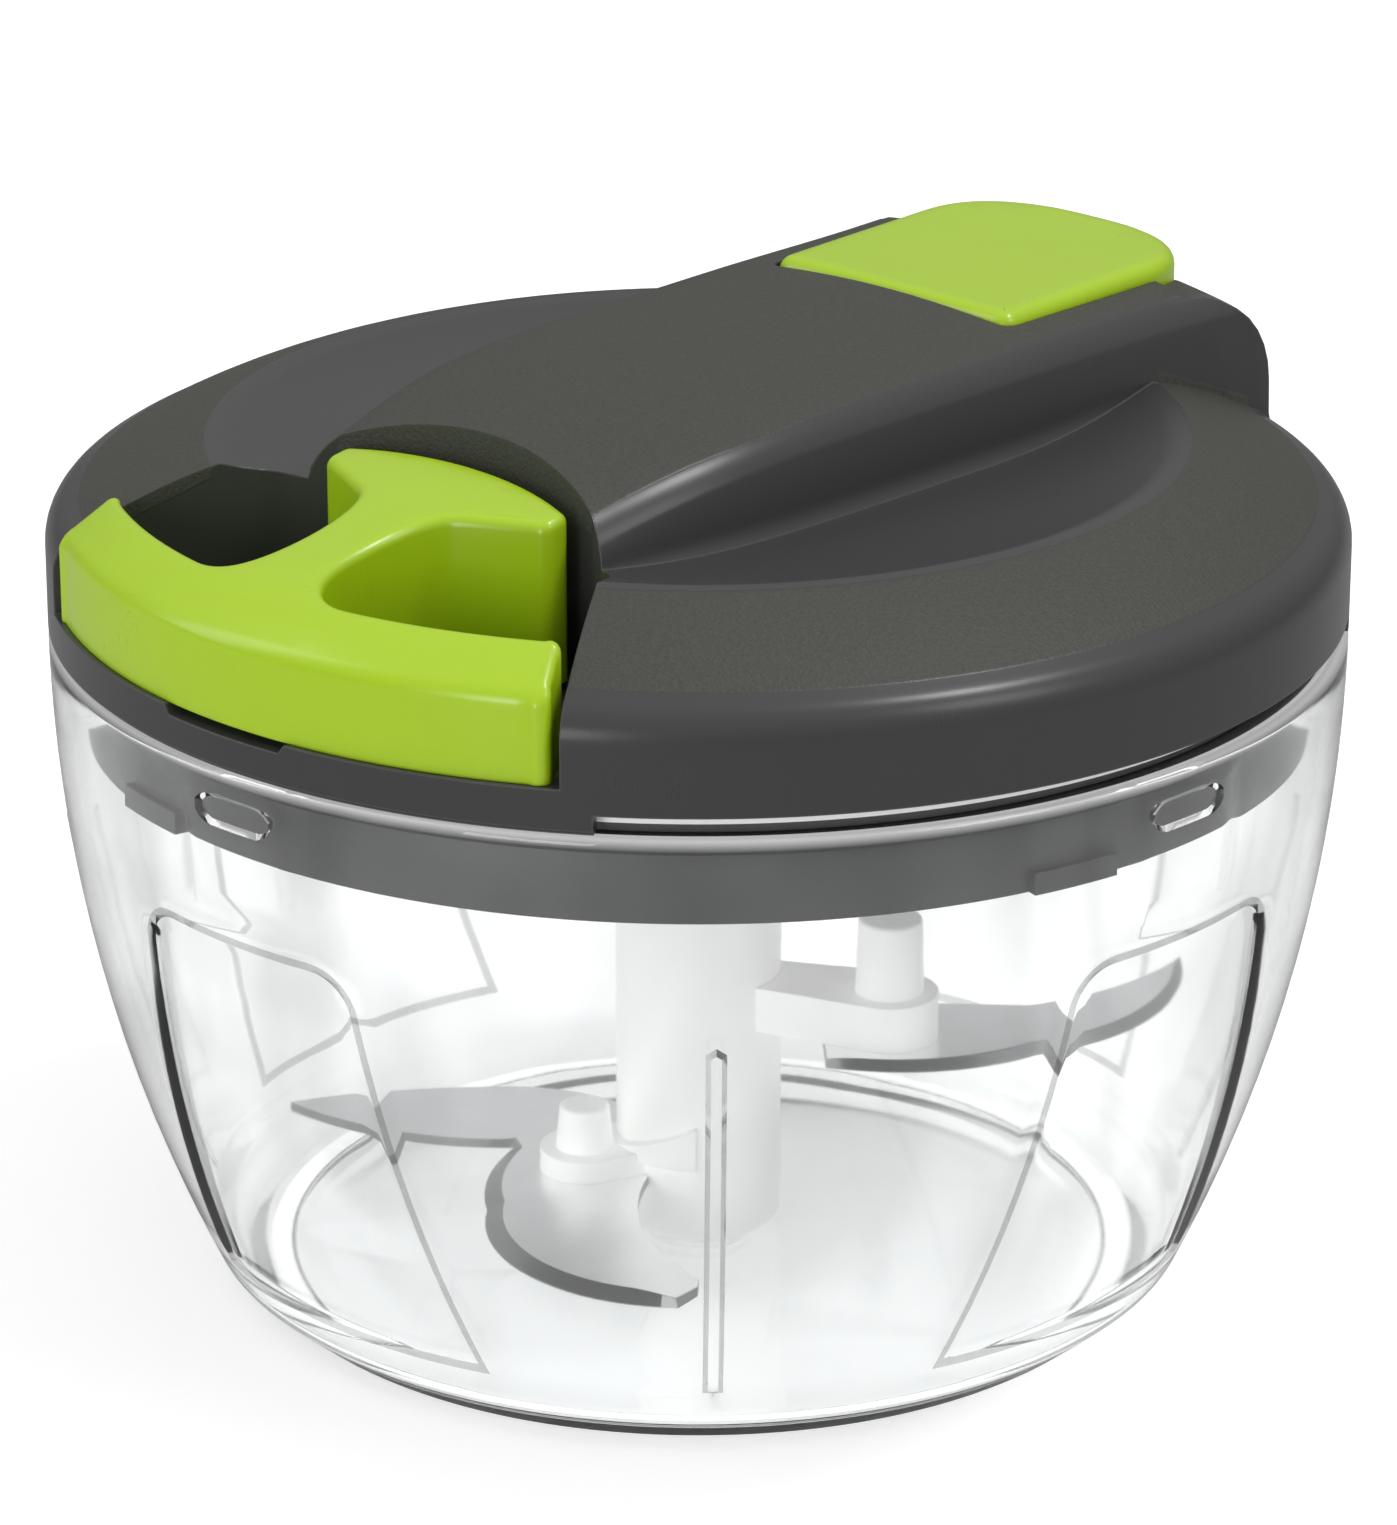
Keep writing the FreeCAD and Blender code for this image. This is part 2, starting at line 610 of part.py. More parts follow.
def pocket_cut():
    """The pocket with the low lip that stays along its front."""
    lip_r = BOWL_R - POCKET_LIP_IN
    lip = revolved([(lip_r, POCKET_FLOOR_Z - 1), (BOWL_R + 8, POCKET_FLOOR_Z - 1),
                    (BOWL_R + 8, POCKET_LIP_Z), (lip_r, POCKET_LIP_Z)])
    half = LIP_NOTCH_W / 2
    low = POCKET_LIP_Z - LIP_NOTCH_H
    notch = facing([(-half, low + 0.6), ((1 - half, low + 0.1), (2.2 - half, low)), (half - 2.2, low),
                    ((half - 1, low + 0.1), (half, low + 0.6)), (half + 1.5, POCKET_LIP_Z + 1),
                    (-half - 1.5, POCKET_LIP_Z + 1)])
    return pocket().cut(lip.cut(notch))


def make_cover():
    outer = dome().cut(dish()).fuse(grip())
    inner = dome(LID_WALL).cut(dish(LID_WALL)).fuse(grip(LID_WALL))
    inner = inner.cut(pocket(POCKET_WALL))
    wall_in = BOWL_R - LID_WALL
    low_in = cylinder(wall_in, LID_LOW_Z - 2 * LID_WALL, LID_LOW_Z)
    rest_z = BOWL_H + REST_GAP
    rest_r = BOWL_R - REST_IN
    rest_top = LID_LOW_Z + 1
    rest = revolved([(wall_in, rest_z), (rest_r, rest_z), (rest_r, rest_top), (wall_in, rest_top)])
    shell = outer.fuse(rest).cut(pocket_cut()).cut(inner.fuse(low_in))
    arbor = cylinder(ARBOR_R, DRUM_CHAMBER_Z + END_GAP, ARBOR_ROOT_Z + 1)
    arbor = arbor.fuse(cylinder(ARBOR_ROOT_R, ARBOR_ROOT_Z, DISH_Z + 20).common(outer))
    shell = shell.fuse(arbor)
    plate_top = PLATE_Z + PLATE_T
    for angle in SCREW_ANGLES:
        at = polar(SCREW_CIRCLE_R, angle)
        post = cylinder(POST_R, plate_top, DISH_Z, at.x, at.y).common(outer.fuse(
            cylinder(POST_R, plate_top, LID_LOW_Z + 1, at.x, at.y)))
        shell = shell.fuse(post)
    shell = shell.cut(cylinder(AXLE_R, DRUM_CHAMBER_Z, AXLE_TOP_Z))
    for angle in SCREW_ANGLES:
        at = polar(SCREW_CIRCLE_R, angle)
        shell = shell.cut(cylinder(SCREW_R, plate_top - 1, PLATE_Z + SCREW_LENGTH, at.x, at.y))
    shell = shell.cut(button_opening()).cut(eyelet_hole())
    half = (EDGE_NOTCH_TO - EDGE_NOTCH_FROM) / 2
    for side in (0, 180):
        notch = sector(BOWL_R - LID_WALL - 1, BOWL_R + 2, half, EDGE_NOTCH_FROM + half + side,
                       LID_LOW_Z - 1, LID_LOW_Z + EDGE_NOTCH_H)
        shell = shell.cut(notch)
    return shell.removeSplitter()


def make_lid_base():
    flange_r = BOWL_R - LID_WALL - FLANGE_GAP
    skirt_in = SKIRT_IN_R
    lug_r = bowl_wall_r(SKIRT_LOW_Z, BOWL_WALL) - LUG_GAP
    lug_top = SKIRT_LOW_Z + LUG_H
    groove_r = SKIRT_R - SEAL_DEPTH - SEAL_GAP
    collar_in = SLEEVE_OUT_R + COLLAR_GAP
    collar_out = collar_in + COLLAR_WALL
    plate_top = PLATE_Z + PLATE_T
    seal_low, seal_top = SEAL_Z - SEAL_GAP, SEAL_Z + SEAL_H + SEAL_GAP
    flange_top = FLANGE_Z + FLANGE_T
    body = revolved([
        (collar_in, PLATE_Z), (skirt_in, PLATE_Z), (skirt_in, SKIRT_LOW_Z), (SKIRT_R, SKIRT_LOW_Z),
        (SKIRT_R, seal_low), (groove_r, seal_low), (groove_r, seal_top), (SKIRT_R, seal_top),
        (SKIRT_R, FLANGE_Z), (flange_r, FLANGE_Z), (flange_r, flange_top), (skirt_in, flange_top),
        (skirt_in, plate_top), (collar_out, plate_top), (collar_out, COLLAR_TOP_Z),
        (collar_in, COLLAR_TOP_Z)])
    for quarter in QUARTERS:
        lug = sector(SKIRT_R - 1, lug_r, LUG_HALF_ANGLE, quarter + LUG_OFFSET, SKIRT_LOW_Z, lug_top)
        body = body.fuse(lug)
    for angle in SCREW_ANGLES:
        at = polar(SCREW_CIRCLE_R, angle)
        body = body.cut(cylinder(SCREW_R + HOLE_GAP, PLATE_Z - 1, plate_top + 1, at.x, at.y))
    body = body.cut(pocket_relief(flange_top))
    return body.removeSplitter()


def pocket_relief(z_top):
    """Room in the base's rim for the pocket's floor above it."""
    low = POCKET_FLOOR_Z - POCKET_WALL - END_GAP
    return sector(POCKET_CORNER_R, BOWL_R, POCKET_HALF_ANGLE + 4, 0, low, max(low + 0.1, z_top + 1))


def make_seal():
    r0 = SKIRT_R - SEAL_DEPTH
    z0, z1 = SEAL_Z, SEAL_Z + SEAL_H
    middle = (z0 + z1) / 2
    lip_r = bowl_wall_r(z0, BOWL_WALL) - RUNNING_GAP
    flat_r = lip_r - SEAL_ROUND
    return revolved([(r0, z0), (flat_r, z0), ((lip_r, middle), (flat_r, z1)), (r0, z1)])


def make_screw(angle):
    at = polar(SCREW_CIRCLE_R, angle)
    head_z = PLATE_Z - SCREW_HEAD_H
    half = SCREW_SLOT_W / 2
    shank = cylinder(SCREW_R, PLATE_Z, PLATE_Z + SCREW_LENGTH, at.x, at.y)
    head = Part.makeCone(SCREW_HEAD_R * 0.8, SCREW_HEAD_R, SCREW_HEAD_H, V(at.x, at.y, head_z), UP)
    slot = box(-SCREW_HEAD_R, SCREW_HEAD_R, -half, half, head_z, head_z + SCREW_SLOT_DEPTH)
    slot.translate(V(at.x, at.y, 0))
    return shank.fuse(head).cut(slot)


def make_drum():
    root = GROOVE_ROOT_R
    cup = root - DRUM_CUP_WALL
    top = DRUM_TOP_Z
    body = revolved([
        (0, DRUM_FLOOR_Z), (SLEEVE_IN_R, DRUM_FLOOR_Z), (SLEEVE_IN_R, SLEEVE_LOW_Z),
        (SLEEVE_OUT_R, SLEEVE_LOW_Z), (SLEEVE_OUT_R, DRUM_FLOOR_Z), (DRUM_R, DRUM_FLOOR_Z),
        (DRUM_R, DRUM_CHAMBER_Z), (root, DRUM_CHAMBER_Z),
        (root, top - DRUM_FLANGE_T), (DRUM_R, top - DRUM_FLANGE_T), (DRUM_R, top), (cup, top),
        (cup, DRUM_CHAMBER_Z), (0, DRUM_CHAMBER_Z)])
    for turn in DOG_TURNS:
        dog = sector(SLEEVE_DOG_R, SLEEVE_IN_R + 1, DOG_HALF_ANGLE, turn + BLADE_SET_ANGLE, SLEEVE_LOW_Z,
                     HUB_TOP_Z + PLUG_H)
        body = body.fuse(dog)
    body = body.cut(cylinder(AXLE_R + RUNNING_GAP, DRUM_FLOOR_Z - 1, DRUM_CHAMBER_Z + 1))
    half = NOTCH_W / 2
    notch = box(-half, half, DRUM_R - NOTCH_DEPTH, DRUM_R + 1, top - DRUM_FLANGE_T - 0.5, top + 1)
    for step in range(NOTCHES):
        body = body.cut(turned(notch, 360 * step / NOTCHES))
    return body.removeSplitter()


def make_axle():
    shank = cylinder(AXLE_R, DRUM_WASHER_Z, AXLE_TOP_Z)
    head_z = DRUM_WASHER_Z - AXLE_HEAD_H
    head = cylinder(AXLE_HEAD_R, head_z, DRUM_WASHER_Z)
    cross = box(-CROSS_L / 2, CROSS_L / 2, -CROSS_W / 2, CROSS_W / 2, head_z, head_z + CROSS_DEPTH)
    return shank.fuse(head).cut(cross).cut(turned(cross, 90)).removeSplitter()


def make_washer():
    low, top = DRUM_WASHER_Z, DRUM_WASHER_Z + WASHER_T
    return cylinder(WASHER_R, low, top).cut(cylinder(AXLE_R + RUNNING_GAP, low - 1, top + 1))


def make_recoil_spring():
    """Flat spiral of half circles whose centres take turns, so that its pitch is even."""
    first = ARBOR_R + SPRING_T
    last = GROOVE_ROOT_R - DRUM_CUP_WALL - SPRING_T
    halves = 2 * SPRING_TURNS
    step = (last - first) / halves
    middle_z = DRUM_CHAMBER_Z + (GROOVE_H + DRUM_FLANGE_T) / 2
    z0 = middle_z - SPRING_H / 2

    def edges(offset):
        found = []
        for i in range(halves):
            side = 1 if i % 2 == 0 else -1
            cx = 0.0 if i % 2 == 0 else step
            r = first + step * i + offset
            found.append((V(cx + side * r, 0, z0), V(cx, side * r, z0), V(cx - side * r, 0, z0)))
        return found

    inner, outer = edges(-SPRING_T / 2), edges(SPRING_T / 2)
    wire = [Part.Arc(a, b, c).toShape() for a, b, c in outer]
    wire.append(Part.makeLine(outer[-1][2], inner[-1][2]))
    wire += [Part.Arc(c, b, a).toShape() for a, b, c in reversed(inner)]
    wire.append(Part.makeLine(inner[0][0], outer[0][0]))
    return Part.Face(Part.Wire(wire)).extrude(V(0, 0, SPRING_H))


def leaving_angle():
    """Angle at which the string leaves the drum for the eyelet, anticlockwise from -Y."""
    return degrees(acos(STRING_LOOP_R / feed_bend_r()))


def feed_bend_r():
    """Distance from the axis to the point where the string turns into the eyelet."""
    return -EYELET_BACK_Y - FEED_LEAD


def make_winding():
    """Loops on the drum, down from the height at which the string leaves. Shorter arcs don't stay valid."""
    path = helix(STRING_LOOP_R, STRING_Z, -STRING_PITCH, STRING_TURNS, 3, leaving_angle())
    print("string winding: least gap to itself %.2f mm" % least_gap(path, STRING_R, 3))
    return tube(path, STRING_R)


def make_feed():
    """The string from the drum, round the eyelet's mouth and through its bore."""
    bend = V(0, -feed_bend_r(), STRING_Z)
    start = polar(STRING_LOOP_R, leaving_angle(), STRING_Z)
    start = start + (bend - start).normalize() * WEDGE_GAP
    end = V(0, POCKET_BACK_Y - EYELET_FLANGE_T, STRING_Z)
    run = (bend - start).normalize()
    turn = atan2(-run.x, -run.y)
    back = BEND_R * tan(turn / 2)
    first = bend - run * back
    second = bend + V(0, -back, 0)
    centre = second + V(BEND_R, 0, 0)
    middle = centre + V(-cos(turn / 2), sin(turn / 2), 0) * BEND_R
    path = Part.Wire([Part.makeLine(start, first), Part.Arc(first, middle, second).toShape(),
                      Part.makeLine(second, end)])
    return tube(path, STRING_R)


def eyelet_hole():
    """Bore through the pocket's back wall, with a flat seat for the eyelet's front flange."""
    out = V(0, -1, 0)
    bore = Part.makeCylinder(EYELET_R, POCKET_WALL + 4, V(0, EYELET_BACK_Y, STRING_Z), out)
    seat = Part.makeCylinder(EYELET_FLANGE_R + HOLE_GAP, EYELET_FLANGE_T, V(0, POCKET_BACK_Y, STRING_Z), out)
    return bore.fuse(seat)


def make_eyelet():
    out = V(0, -1, 0)
    start = V(0, EYELET_BACK_Y, STRING_Z)
    length = EYELET_BACK_Y - POCKET_BACK_Y + EYELET_FLANGE_T
    body = Part.makeCylinder(EYELET_R, length, start, out)
    body = body.fuse(Part.makeCylinder(EYELET_FLANGE_R, EYELET_FLANGE_T, V(0, POCKET_BACK_Y, STRING_Z), out))
    body = body.fuse(Part.makeCylinder(EYELET_FLANGE_R, EYELET_FLANGE_T, start, out))
    return body.cut(Part.makeCylinder(EYELET_BORE_R, length + 2, start + V(0, 1, 0), out)).removeSplitter()


def handle_plan():
    """Anchor outline: a curved bar in front, a waisted stem and a block with a curved back."""
    bar_end = polar(HANDLE_R, BAR_HALF_ANGLE)
    inner_end = polar(BAR_IN_R, BAR_HALF_ANGLE)
    join_angle = degrees(asin((STEM_HALF + STEM_BLEND) / BAR_IN_R))
    join = polar(BAR_IN_R, join_angle)
    half_way = polar(BAR_IN_R, (BAR_HALF_ANGLE + join_angle) / 2)
    waist_y = (join.y + BLOCK_FRONT_Y) / 2
    blend_x = STEM_HALF + STEM_BLEND * 0.22
    blend_y = join.y + (waist_y - join.y) * 0.45
    foot_x, foot_y = STEM_HALF + 3.4, BLOCK_FRONT_Y + 2.4
    bow_x, bow_y = STEM_HALF + 0.9, (waist_y + BLOCK_FRONT_Y) / 2 + 1.0
    right = [(inner_end.x, inner_end.y), ((half_way.x, half_way.y), (join.x, join.y)),
             ((blend_x, blend_y), (STEM_HALF, waist_y)), ((bow_x, bow_y), (foot_x, foot_y)),
             (BLOCK_HALF, BLOCK_CORNER_Y), (BLOCK_HALF, BLOCK_SIDE_Y)]
    left = [(-BLOCK_HALF, BLOCK_CORNER_Y), (-foot_x, foot_y), ((-bow_x, bow_y), (-STEM_HALF, waist_y)),
            ((-blend_x, blend_y), (-join.x, join.y)),
            ((-half_way.x, half_way.y), (-inner_end.x, inner_end.y))]
    front = [(-bar_end.x, bar_end.y), ((0, -HANDLE_R), (bar_end.x, bar_end.y))]
    back = [((0, BLOCK_BACK_Y), (-BLOCK_HALF, BLOCK_SIDE_Y))]
    return front + right + back + left


def make_handle():
    plan = prism(handle_plan(), HANDLE_Z, DISH_Z + 10)
    edge = HANDLE_ROUND
    top = [(0, HANDLE_Z - 1), (HANDLE_R + 1, HANDLE_Z - 1), (HANDLE_R + 1, BAR_FACE_TOP_Z - edge),
           (HANDLE_R, BAR_FACE_TOP_Z - edge),
           ((HANDLE_R - edge * 0.25, BAR_FACE_TOP_Z - edge * 0.1),
            (HANDLE_R - edge, BAR_FACE_TOP_Z + edge * 0.6))]
    top += [(BAR_IN_R - run, z) for run, z in HANDLE_TOP] + [(0, HANDLE_TOP[-1][1] + 0.2)]
    body = plan.common(revolved(top))
    well = cylinder(KNOT_WELL_R, HANDLE_Z - 1, STRING_Z + KNOT_WELL_R, 0, KNOT_Y)
    slot = box(-STRING_SLOT_W / 2, STRING_SLOT_W / 2, KNOT_Y, BLOCK_BACK_Y + 2, HANDLE_Z - 1,
               STRING_Z + STRING_SLOT_W / 2)
    return body.cut(well).cut(slot).removeSplitter()


def make_pull_string():
    """The short run from the eyelet to the knot inside the handle's block."""
    start = V(0, POCKET_BACK_Y - EYELET_FLANGE_T - 0.1, STRING_Z)
    end_y = KNOT_Y + KNOT_R * 0.9
    return Part.makeCylinder(STRING_R, start.y - end_y, start, V(0, -1, 0))


def make_knot():
    ball = Part.makeSphere(KNOT_R, V(0, KNOT_Y, STRING_Z))
    stub = Part.makeCylinder(STRING_R, KNOT_R + 1, V(0, KNOT_Y + KNOT_R * 0.9, STRING_Z), V(0, 1, 0))
    return ball.cut(stub)


def button_plan(grow=0.0):
    """Straight near edge, parallel sides and a far end that follows the lid's round."""
    half, near, end = BUTTON_HALF + grow, BUTTON_NEAR_Y - grow, BUTTON_END_R + grow
    corner = 7.0
    side_y = sqrt(end ** 2 - half ** 2) - corner * 0.8
    in_x = half - corner * 0.62
    in_y = sqrt(end ** 2 - in_x ** 2)
    mid_x, mid_y = half - corner * 0.16, side_y + corner * 0.55
    return [(-half, near), (half, near), (half, side_y), ((mid_x, mid_y), (in_x, in_y)),
            ((0, end), (-in_x, in_y)), ((-mid_x, mid_y), (-half, side_y))]


def button_opening():
    return prism(button_plan(BUTTON_GAP), CARRIER_TOP_Z + 6, DISH_Z + 20)


def make_button():
    low = BUTTON_LOW_Z - BUTTON_FLANGE_T
    roof = BUTTON_LOW_Z + BUTTON_ROOF
    cap = prism(button_plan(), low, BUTTON_TOP_Z + 2)
    crown_r = (BUTTON_END_R ** 2 + BUTTON_DROP ** 2) / (2 * BUTTON_DROP)
    cap = cap.common(Part.makeSphere(crown_r, V(0, 0, BUTTON_TOP_Z - crown_r)))
    edges = [e for e in cap.Edges if e.BoundBox.ZMin > low + 0.5]
    cap = cap.makeFillet(BUTTON_ROUND, edges)
    side = BUTTON_HALF + BUTTON_FLANGE_W
    flange = box(-side, side, BUTTON_NEAR_Y - BUTTON_FLANGE_W, BUTTON_END_R - BUTTON_FLANGE_BACK, low,
                 BUTTON_LOW_Z)
    hollow = prism(button_plan(-LID_WALL), low - 1, roof)
    body = cap.fuse(flange).cut(hollow)
    post = cylinder(SPRING_POST_R, roof - SPRING_POST_H, roof + 1, 0, BUTTON_SPRING_Y)
    return body.fuse(button_wedge(roof + 1)).fuse(post).removeSplitter()


def button_wedge(top):
    """Leg under the button. Its slope lies WEDGE_GAP off the bolt's slope and parallel to it."""
    low, corner_y = WEDGE_LOW_Z, WEDGE_CORNER_Y
    near, far = corner_y - BUTTON_TRAVEL, corner_y + WEDGE_T
    points = [(corner_y, low), (far, low), (far, top), (near, top), (near, low + BUTTON_TRAVEL)]
    side = Part.Face(outline(points, lambda y, z: V(-BOLT_HALF, y, z)))
    return side.extrude(V(2 * BOLT_HALF, 0, 0))


def make_bolt():
    """Sliding bolt: a thin tip for the drum's notches and a slope that the button's wedge pushes."""
    z0, z1 = BOLT_Z, BOLT_Z + BOLT_H
    side = outline([(BOLT_SHOULDER_Y, z0), (BOLT_FAR_Y, z0), (BOLT_FAR_Y - BOLT_H, z1),
                    (BOLT_SHOULDER_Y, z1)], lambda y, z: V(-BOLT_HALF, y, z))
    body = Part.Face(side).extrude(V(2 * BOLT_HALF, 0, 0))
    tip = box(-BOLT_TIP_HALF, BOLT_TIP_HALF, DRUM_R + BOLT_TIP_GAP, BOLT_SHOULDER_Y + 1, z0, z0 + BOLT_TIP_T)
    return body.fuse(tip).removeSplitter()


def make_carrier():
    """Bracket on the lid base that guides the bolt and seats the springs."""
    top, low = CARRIER_TOP_Z, CARRIER_TOP_Z - CARRIER_T
    plate = box(-CARRIER_HALF, CARRIER_HALF, CARRIER_NEAR_Y, CARRIER_FAR_Y, low, top)
    rail_in = BOLT_HALF + RAIL_GAP
    rail_top = top + RAIL_H
    body = plate.fuse(cylinder(SPRING_POST_R, top, top + SPRING_POST_H, 0, BUTTON_SPRING_Y))
    for side in (-1, 1):
        x0, x1 = sorted((side * rail_in, side * (rail_in + RAIL_W)))
        body = body.fuse(box(x0, x1, CARRIER_NEAR_Y, BOLT_FAR_Y, top, rail_top))
        lx0, lx1 = sorted((side * CARRIER_HALF, side * (CARRIER_HALF - CARRIER_LEG)))
        for y in (CARRIER_NEAR_Y, CARRIER_FAR_Y - CARRIER_LEG):
            body = body.fuse(box(lx0, lx1, y, y + CARRIER_LEG, PLATE_Z + PLATE_T, low))
    stop = box(-rail_in, rail_in, CARRIER_NEAR_Y, CARRIER_NEAR_Y + STOP_T, top, rail_top)
    gap = BOLT_TIP_HALF + RAIL_GAP
    stop = stop.cut(box(-gap, gap, CARRIER_NEAR_Y - 1, CARRIER_NEAR_Y + 2 * STOP_T, top - 1, rail_top + 1))
    room = cylinder(SKIRT_IN_R - CARRIER_GAP, PLATE_Z, rail_top + 1)
    return body.fuse(stop).common(room).removeSplitter()


def make_bolt_spring():
    """Folded leaf between the carrier's stop and the bolt's shoulder, with a slot for the bolt's tip."""
    near, far = CARRIER_NEAR_Y + STOP_T, BOLT_SHOULDER_Y
    t = BOLT_SPRING_T
    half = BOLT_HALF - BOLT_SPRING_T
    run = (far - near) / BOLT_SPRING_FOLDS
    z0 = BOLT_Z + BOLT_TIP_T + WEDGE_GAP
    left, right = [], []
    for fold in range(BOLT_SPRING_FOLDS + 1):
        x = half if fold % 2 else -half
        y = near + run * fold
        left.append((x - t, y))
        right.append((x + t, y))
    face = Part.Face(outline(left + right[::-1], lambda x, y: V(x, y, z0)))
    return face.extrude(V(0, 0, BOLT_SPRING_H))


def make_button_spring():
    wire = BUTTON_SPRING_WIRE_R
    low, top = CARRIER_TOP_Z + wire + END_GAP, BUTTON_LOW_Z + BUTTON_ROOF - wire - END_GAP
    pitch = (top - low) / BUTTON_SPRING_TURNS
    path = helix(BUTTON_SPRING_R, low, pitch, BUTTON_SPRING_TURNS, 4, 0, V(0, BUTTON_SPRING_Y, 0))
    print("button spring: least gap to itself %.2f mm" % least_gap(path, wire, 4))
    return tube(path, wire)


NODES = {
    "bowl": make_bowl,
    "bowl_spindle": make_spindle,
    "blade_hub": make_hub,
    "blade_lower": make_blade_lower,
    "blade_upper": make_blade_upper,
    "blade_cap_lower": lambda: make_cap(ARM_LOWER),
    "blade_cap_upper": lambda: make_cap(ARM_UPPER),
    "lid_cover": make_cover,
    "lid_base": make_lid_base,
    "lid_seal": make_seal,
    "string_drum": make_drum,
    "drum_axle": make_axle,
    "drum_washer": make_washer,
    "recoil_spring": make_recoil_spring,
    "string_winding": make_winding,
    "string_feed": make_feed,
    "string_eyelet": make_eyelet,
    "pull_handle": make_handle,
    "pull_string": make_pull_string,
    "string_knot": make_knot,
    "lock_button": make_button,
    "lock_bolt": make_bolt,
    "lock_carrier": make_carrier,
    "bolt_spring": make_bolt_spring,
    "button_spring": make_button_spring,
    "lid_screws": lambda: Part.makeCompound([make_screw(angle) for angle in SCREW_ANGLES]),
}


def main():
    os.makedirs("parts", exist_ok=True)
    shapes = {name: make() for name, make in NODES.items()}
    for name, shape in shapes.items():
        box_ = shape.BoundBox
        print("%-18s solids %d valid %s volume %9.1f  x %6.1f %6.1f  y %6.1f %6.1f  z %6.1f %6.1f" % (
            name, len(shape.Solids), shape.isValid(), shape.Volume,
            box_.XMin, box_.XMax, box_.YMin, box_.YMax, box_.ZMin, box_.ZMax))
        shape.exportStep("parts/%s.step" % name)


main()
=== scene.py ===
"""Pull-string food chopper: its looks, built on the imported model's frame, laid out as an add-on."""

from math import asin, atan2, cos, degrees, hypot, pi, radians, sin, sqrt, tan, tau
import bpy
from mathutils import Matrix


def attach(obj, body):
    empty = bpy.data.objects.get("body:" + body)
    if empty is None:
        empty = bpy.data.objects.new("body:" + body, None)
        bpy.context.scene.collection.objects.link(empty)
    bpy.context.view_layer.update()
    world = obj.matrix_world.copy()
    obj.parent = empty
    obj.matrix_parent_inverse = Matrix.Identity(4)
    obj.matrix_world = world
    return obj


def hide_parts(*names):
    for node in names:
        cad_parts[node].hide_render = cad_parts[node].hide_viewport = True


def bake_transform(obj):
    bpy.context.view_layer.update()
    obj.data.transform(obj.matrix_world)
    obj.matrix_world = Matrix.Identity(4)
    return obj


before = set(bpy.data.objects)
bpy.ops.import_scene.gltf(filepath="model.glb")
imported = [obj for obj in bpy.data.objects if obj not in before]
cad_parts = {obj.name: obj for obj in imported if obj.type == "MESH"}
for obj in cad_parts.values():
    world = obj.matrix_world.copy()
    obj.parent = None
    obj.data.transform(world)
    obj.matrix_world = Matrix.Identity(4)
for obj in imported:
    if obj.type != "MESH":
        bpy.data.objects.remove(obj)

from types import SimpleNamespace

import bmesh
import bpy
from mathutils import Vector

bl_info = {
    "name": "Pull-String Chopper",
    "version": (1, 0, 0),
    "blender": (4, 5, 0),
    "location": "3D View > Sidebar > Chopper",
    "description": "Builds a pull-string food chopper on its frame",
    "category": "Add Mesh",
}

# The drawings below are in millimetres, and Blender's unit is the metre
MM = 0.001
ROUND_STEPS = 240
MERGE_DISTANCE = 0.000002
UNDER = 60.0  # lower end of what is cut from the cover, and its upper end
ABOVE = 110.0
STRING_LEVEL = 80.3

# Grip stations along Y: y, half width at the ridges, half width of the foot, then the heights of
# the crown, the ridges and the foot
GRIP = ((-34.5, 18.5, 22.5, 93.9, 91.2, 85.6), (-14.0, 21.4, 25.5, 96.7, 94.8, 85.6),
        (20.0, 22.1, 26.5, 97.2, 95.5, 85.6), (44.0, 22.3, 29.0, 97.2, 95.5, 85.2),
        (67.0, 24.0, 35.0, 97.0, 95.3, 76.0))
GRIP_ROUND = 1.8
GRIP_END_R = 64.7
GRIP_END_ROUND = 10.0
# The handle's top: distance from the axis and height
HANDLE_TOP = ((64.4, 83.2), (58.6, 87.1), (47.0, 89.6), (36.0, 91.6), (26.0, 92.6))
KNOT_Y = -37.2
BUTTON_NEAR = 28.0
BUTTON_LOW = 91.4
SCREW_RADIUS = 47.0
SCREW_ANGLES = (60, 120, 240, 300)
QUARTERS = (0, 90, 180, 270)

# The bowl's wall: its heel, the columns that become edges of panels and ribs by their angle in a
# quarter, the panels' half width above and below, the arch's corner, and the catches' middle
HEEL_Z = 4.1
PANEL_ANGLE, RIB_ANGLE, QUARTER_END = 16.5, 43.5, 45
PANEL_TOP, PANEL_LOW, PANEL_FOOT_Z = 14.62, 18.43, 8
ARCH_Z, ARCH_CORNER = 48, 5.0
CATCH_Z = 65.35

# Arms of the hub: height, thickness, reach, angle, round at the end, then the post's height and
# its radius below and above
ARM_NECK = 3.4
ARMS = {
    "lower": (10.6, 2.4, 12.5, -69.6, 4.6, 4.7, 3.0, 2.55),
    "upper": (26.3, 4.8, 20.5, 71.2, 5.0, 8.0, 3.5, 3.3),
}

# Blades: radius of the tip, outline in shares of that radius, first and last item of the ground
# edge, width of the ground edge
BLADES = {
    "lower": (44.8, [(-0.967, 0.252), ((-0.770, 0.317), (-0.498, 0.357)),
                     ((-0.270, 0.318), (-0.112, 0.175)), (0.0, 0.0), (-0.109, -0.134),
                     ((-0.136, -0.357), (0.004, -0.692)), (0.0, -0.732), (-0.045, -0.792),
                     ((-0.339, -0.670), (-0.480, -0.290)), ((-0.482, -0.100), (-0.431, 0.049)),
                     ((-0.770, 0.120), (-0.967, 0.252))], 7, 9, 1.8),
    "upper": (53.0, [(0.242, -0.242), ((0.430, -0.262), (0.645, -0.181)),
                     ((0.853, -0.042), (0.966, 0.255)), ((0.823, 0.106), (0.642, 0.011)),
                     ((0.434, 0.022), (0.234, 0.019)), (0.242, -0.242)], 0, 2, 1.0),
}

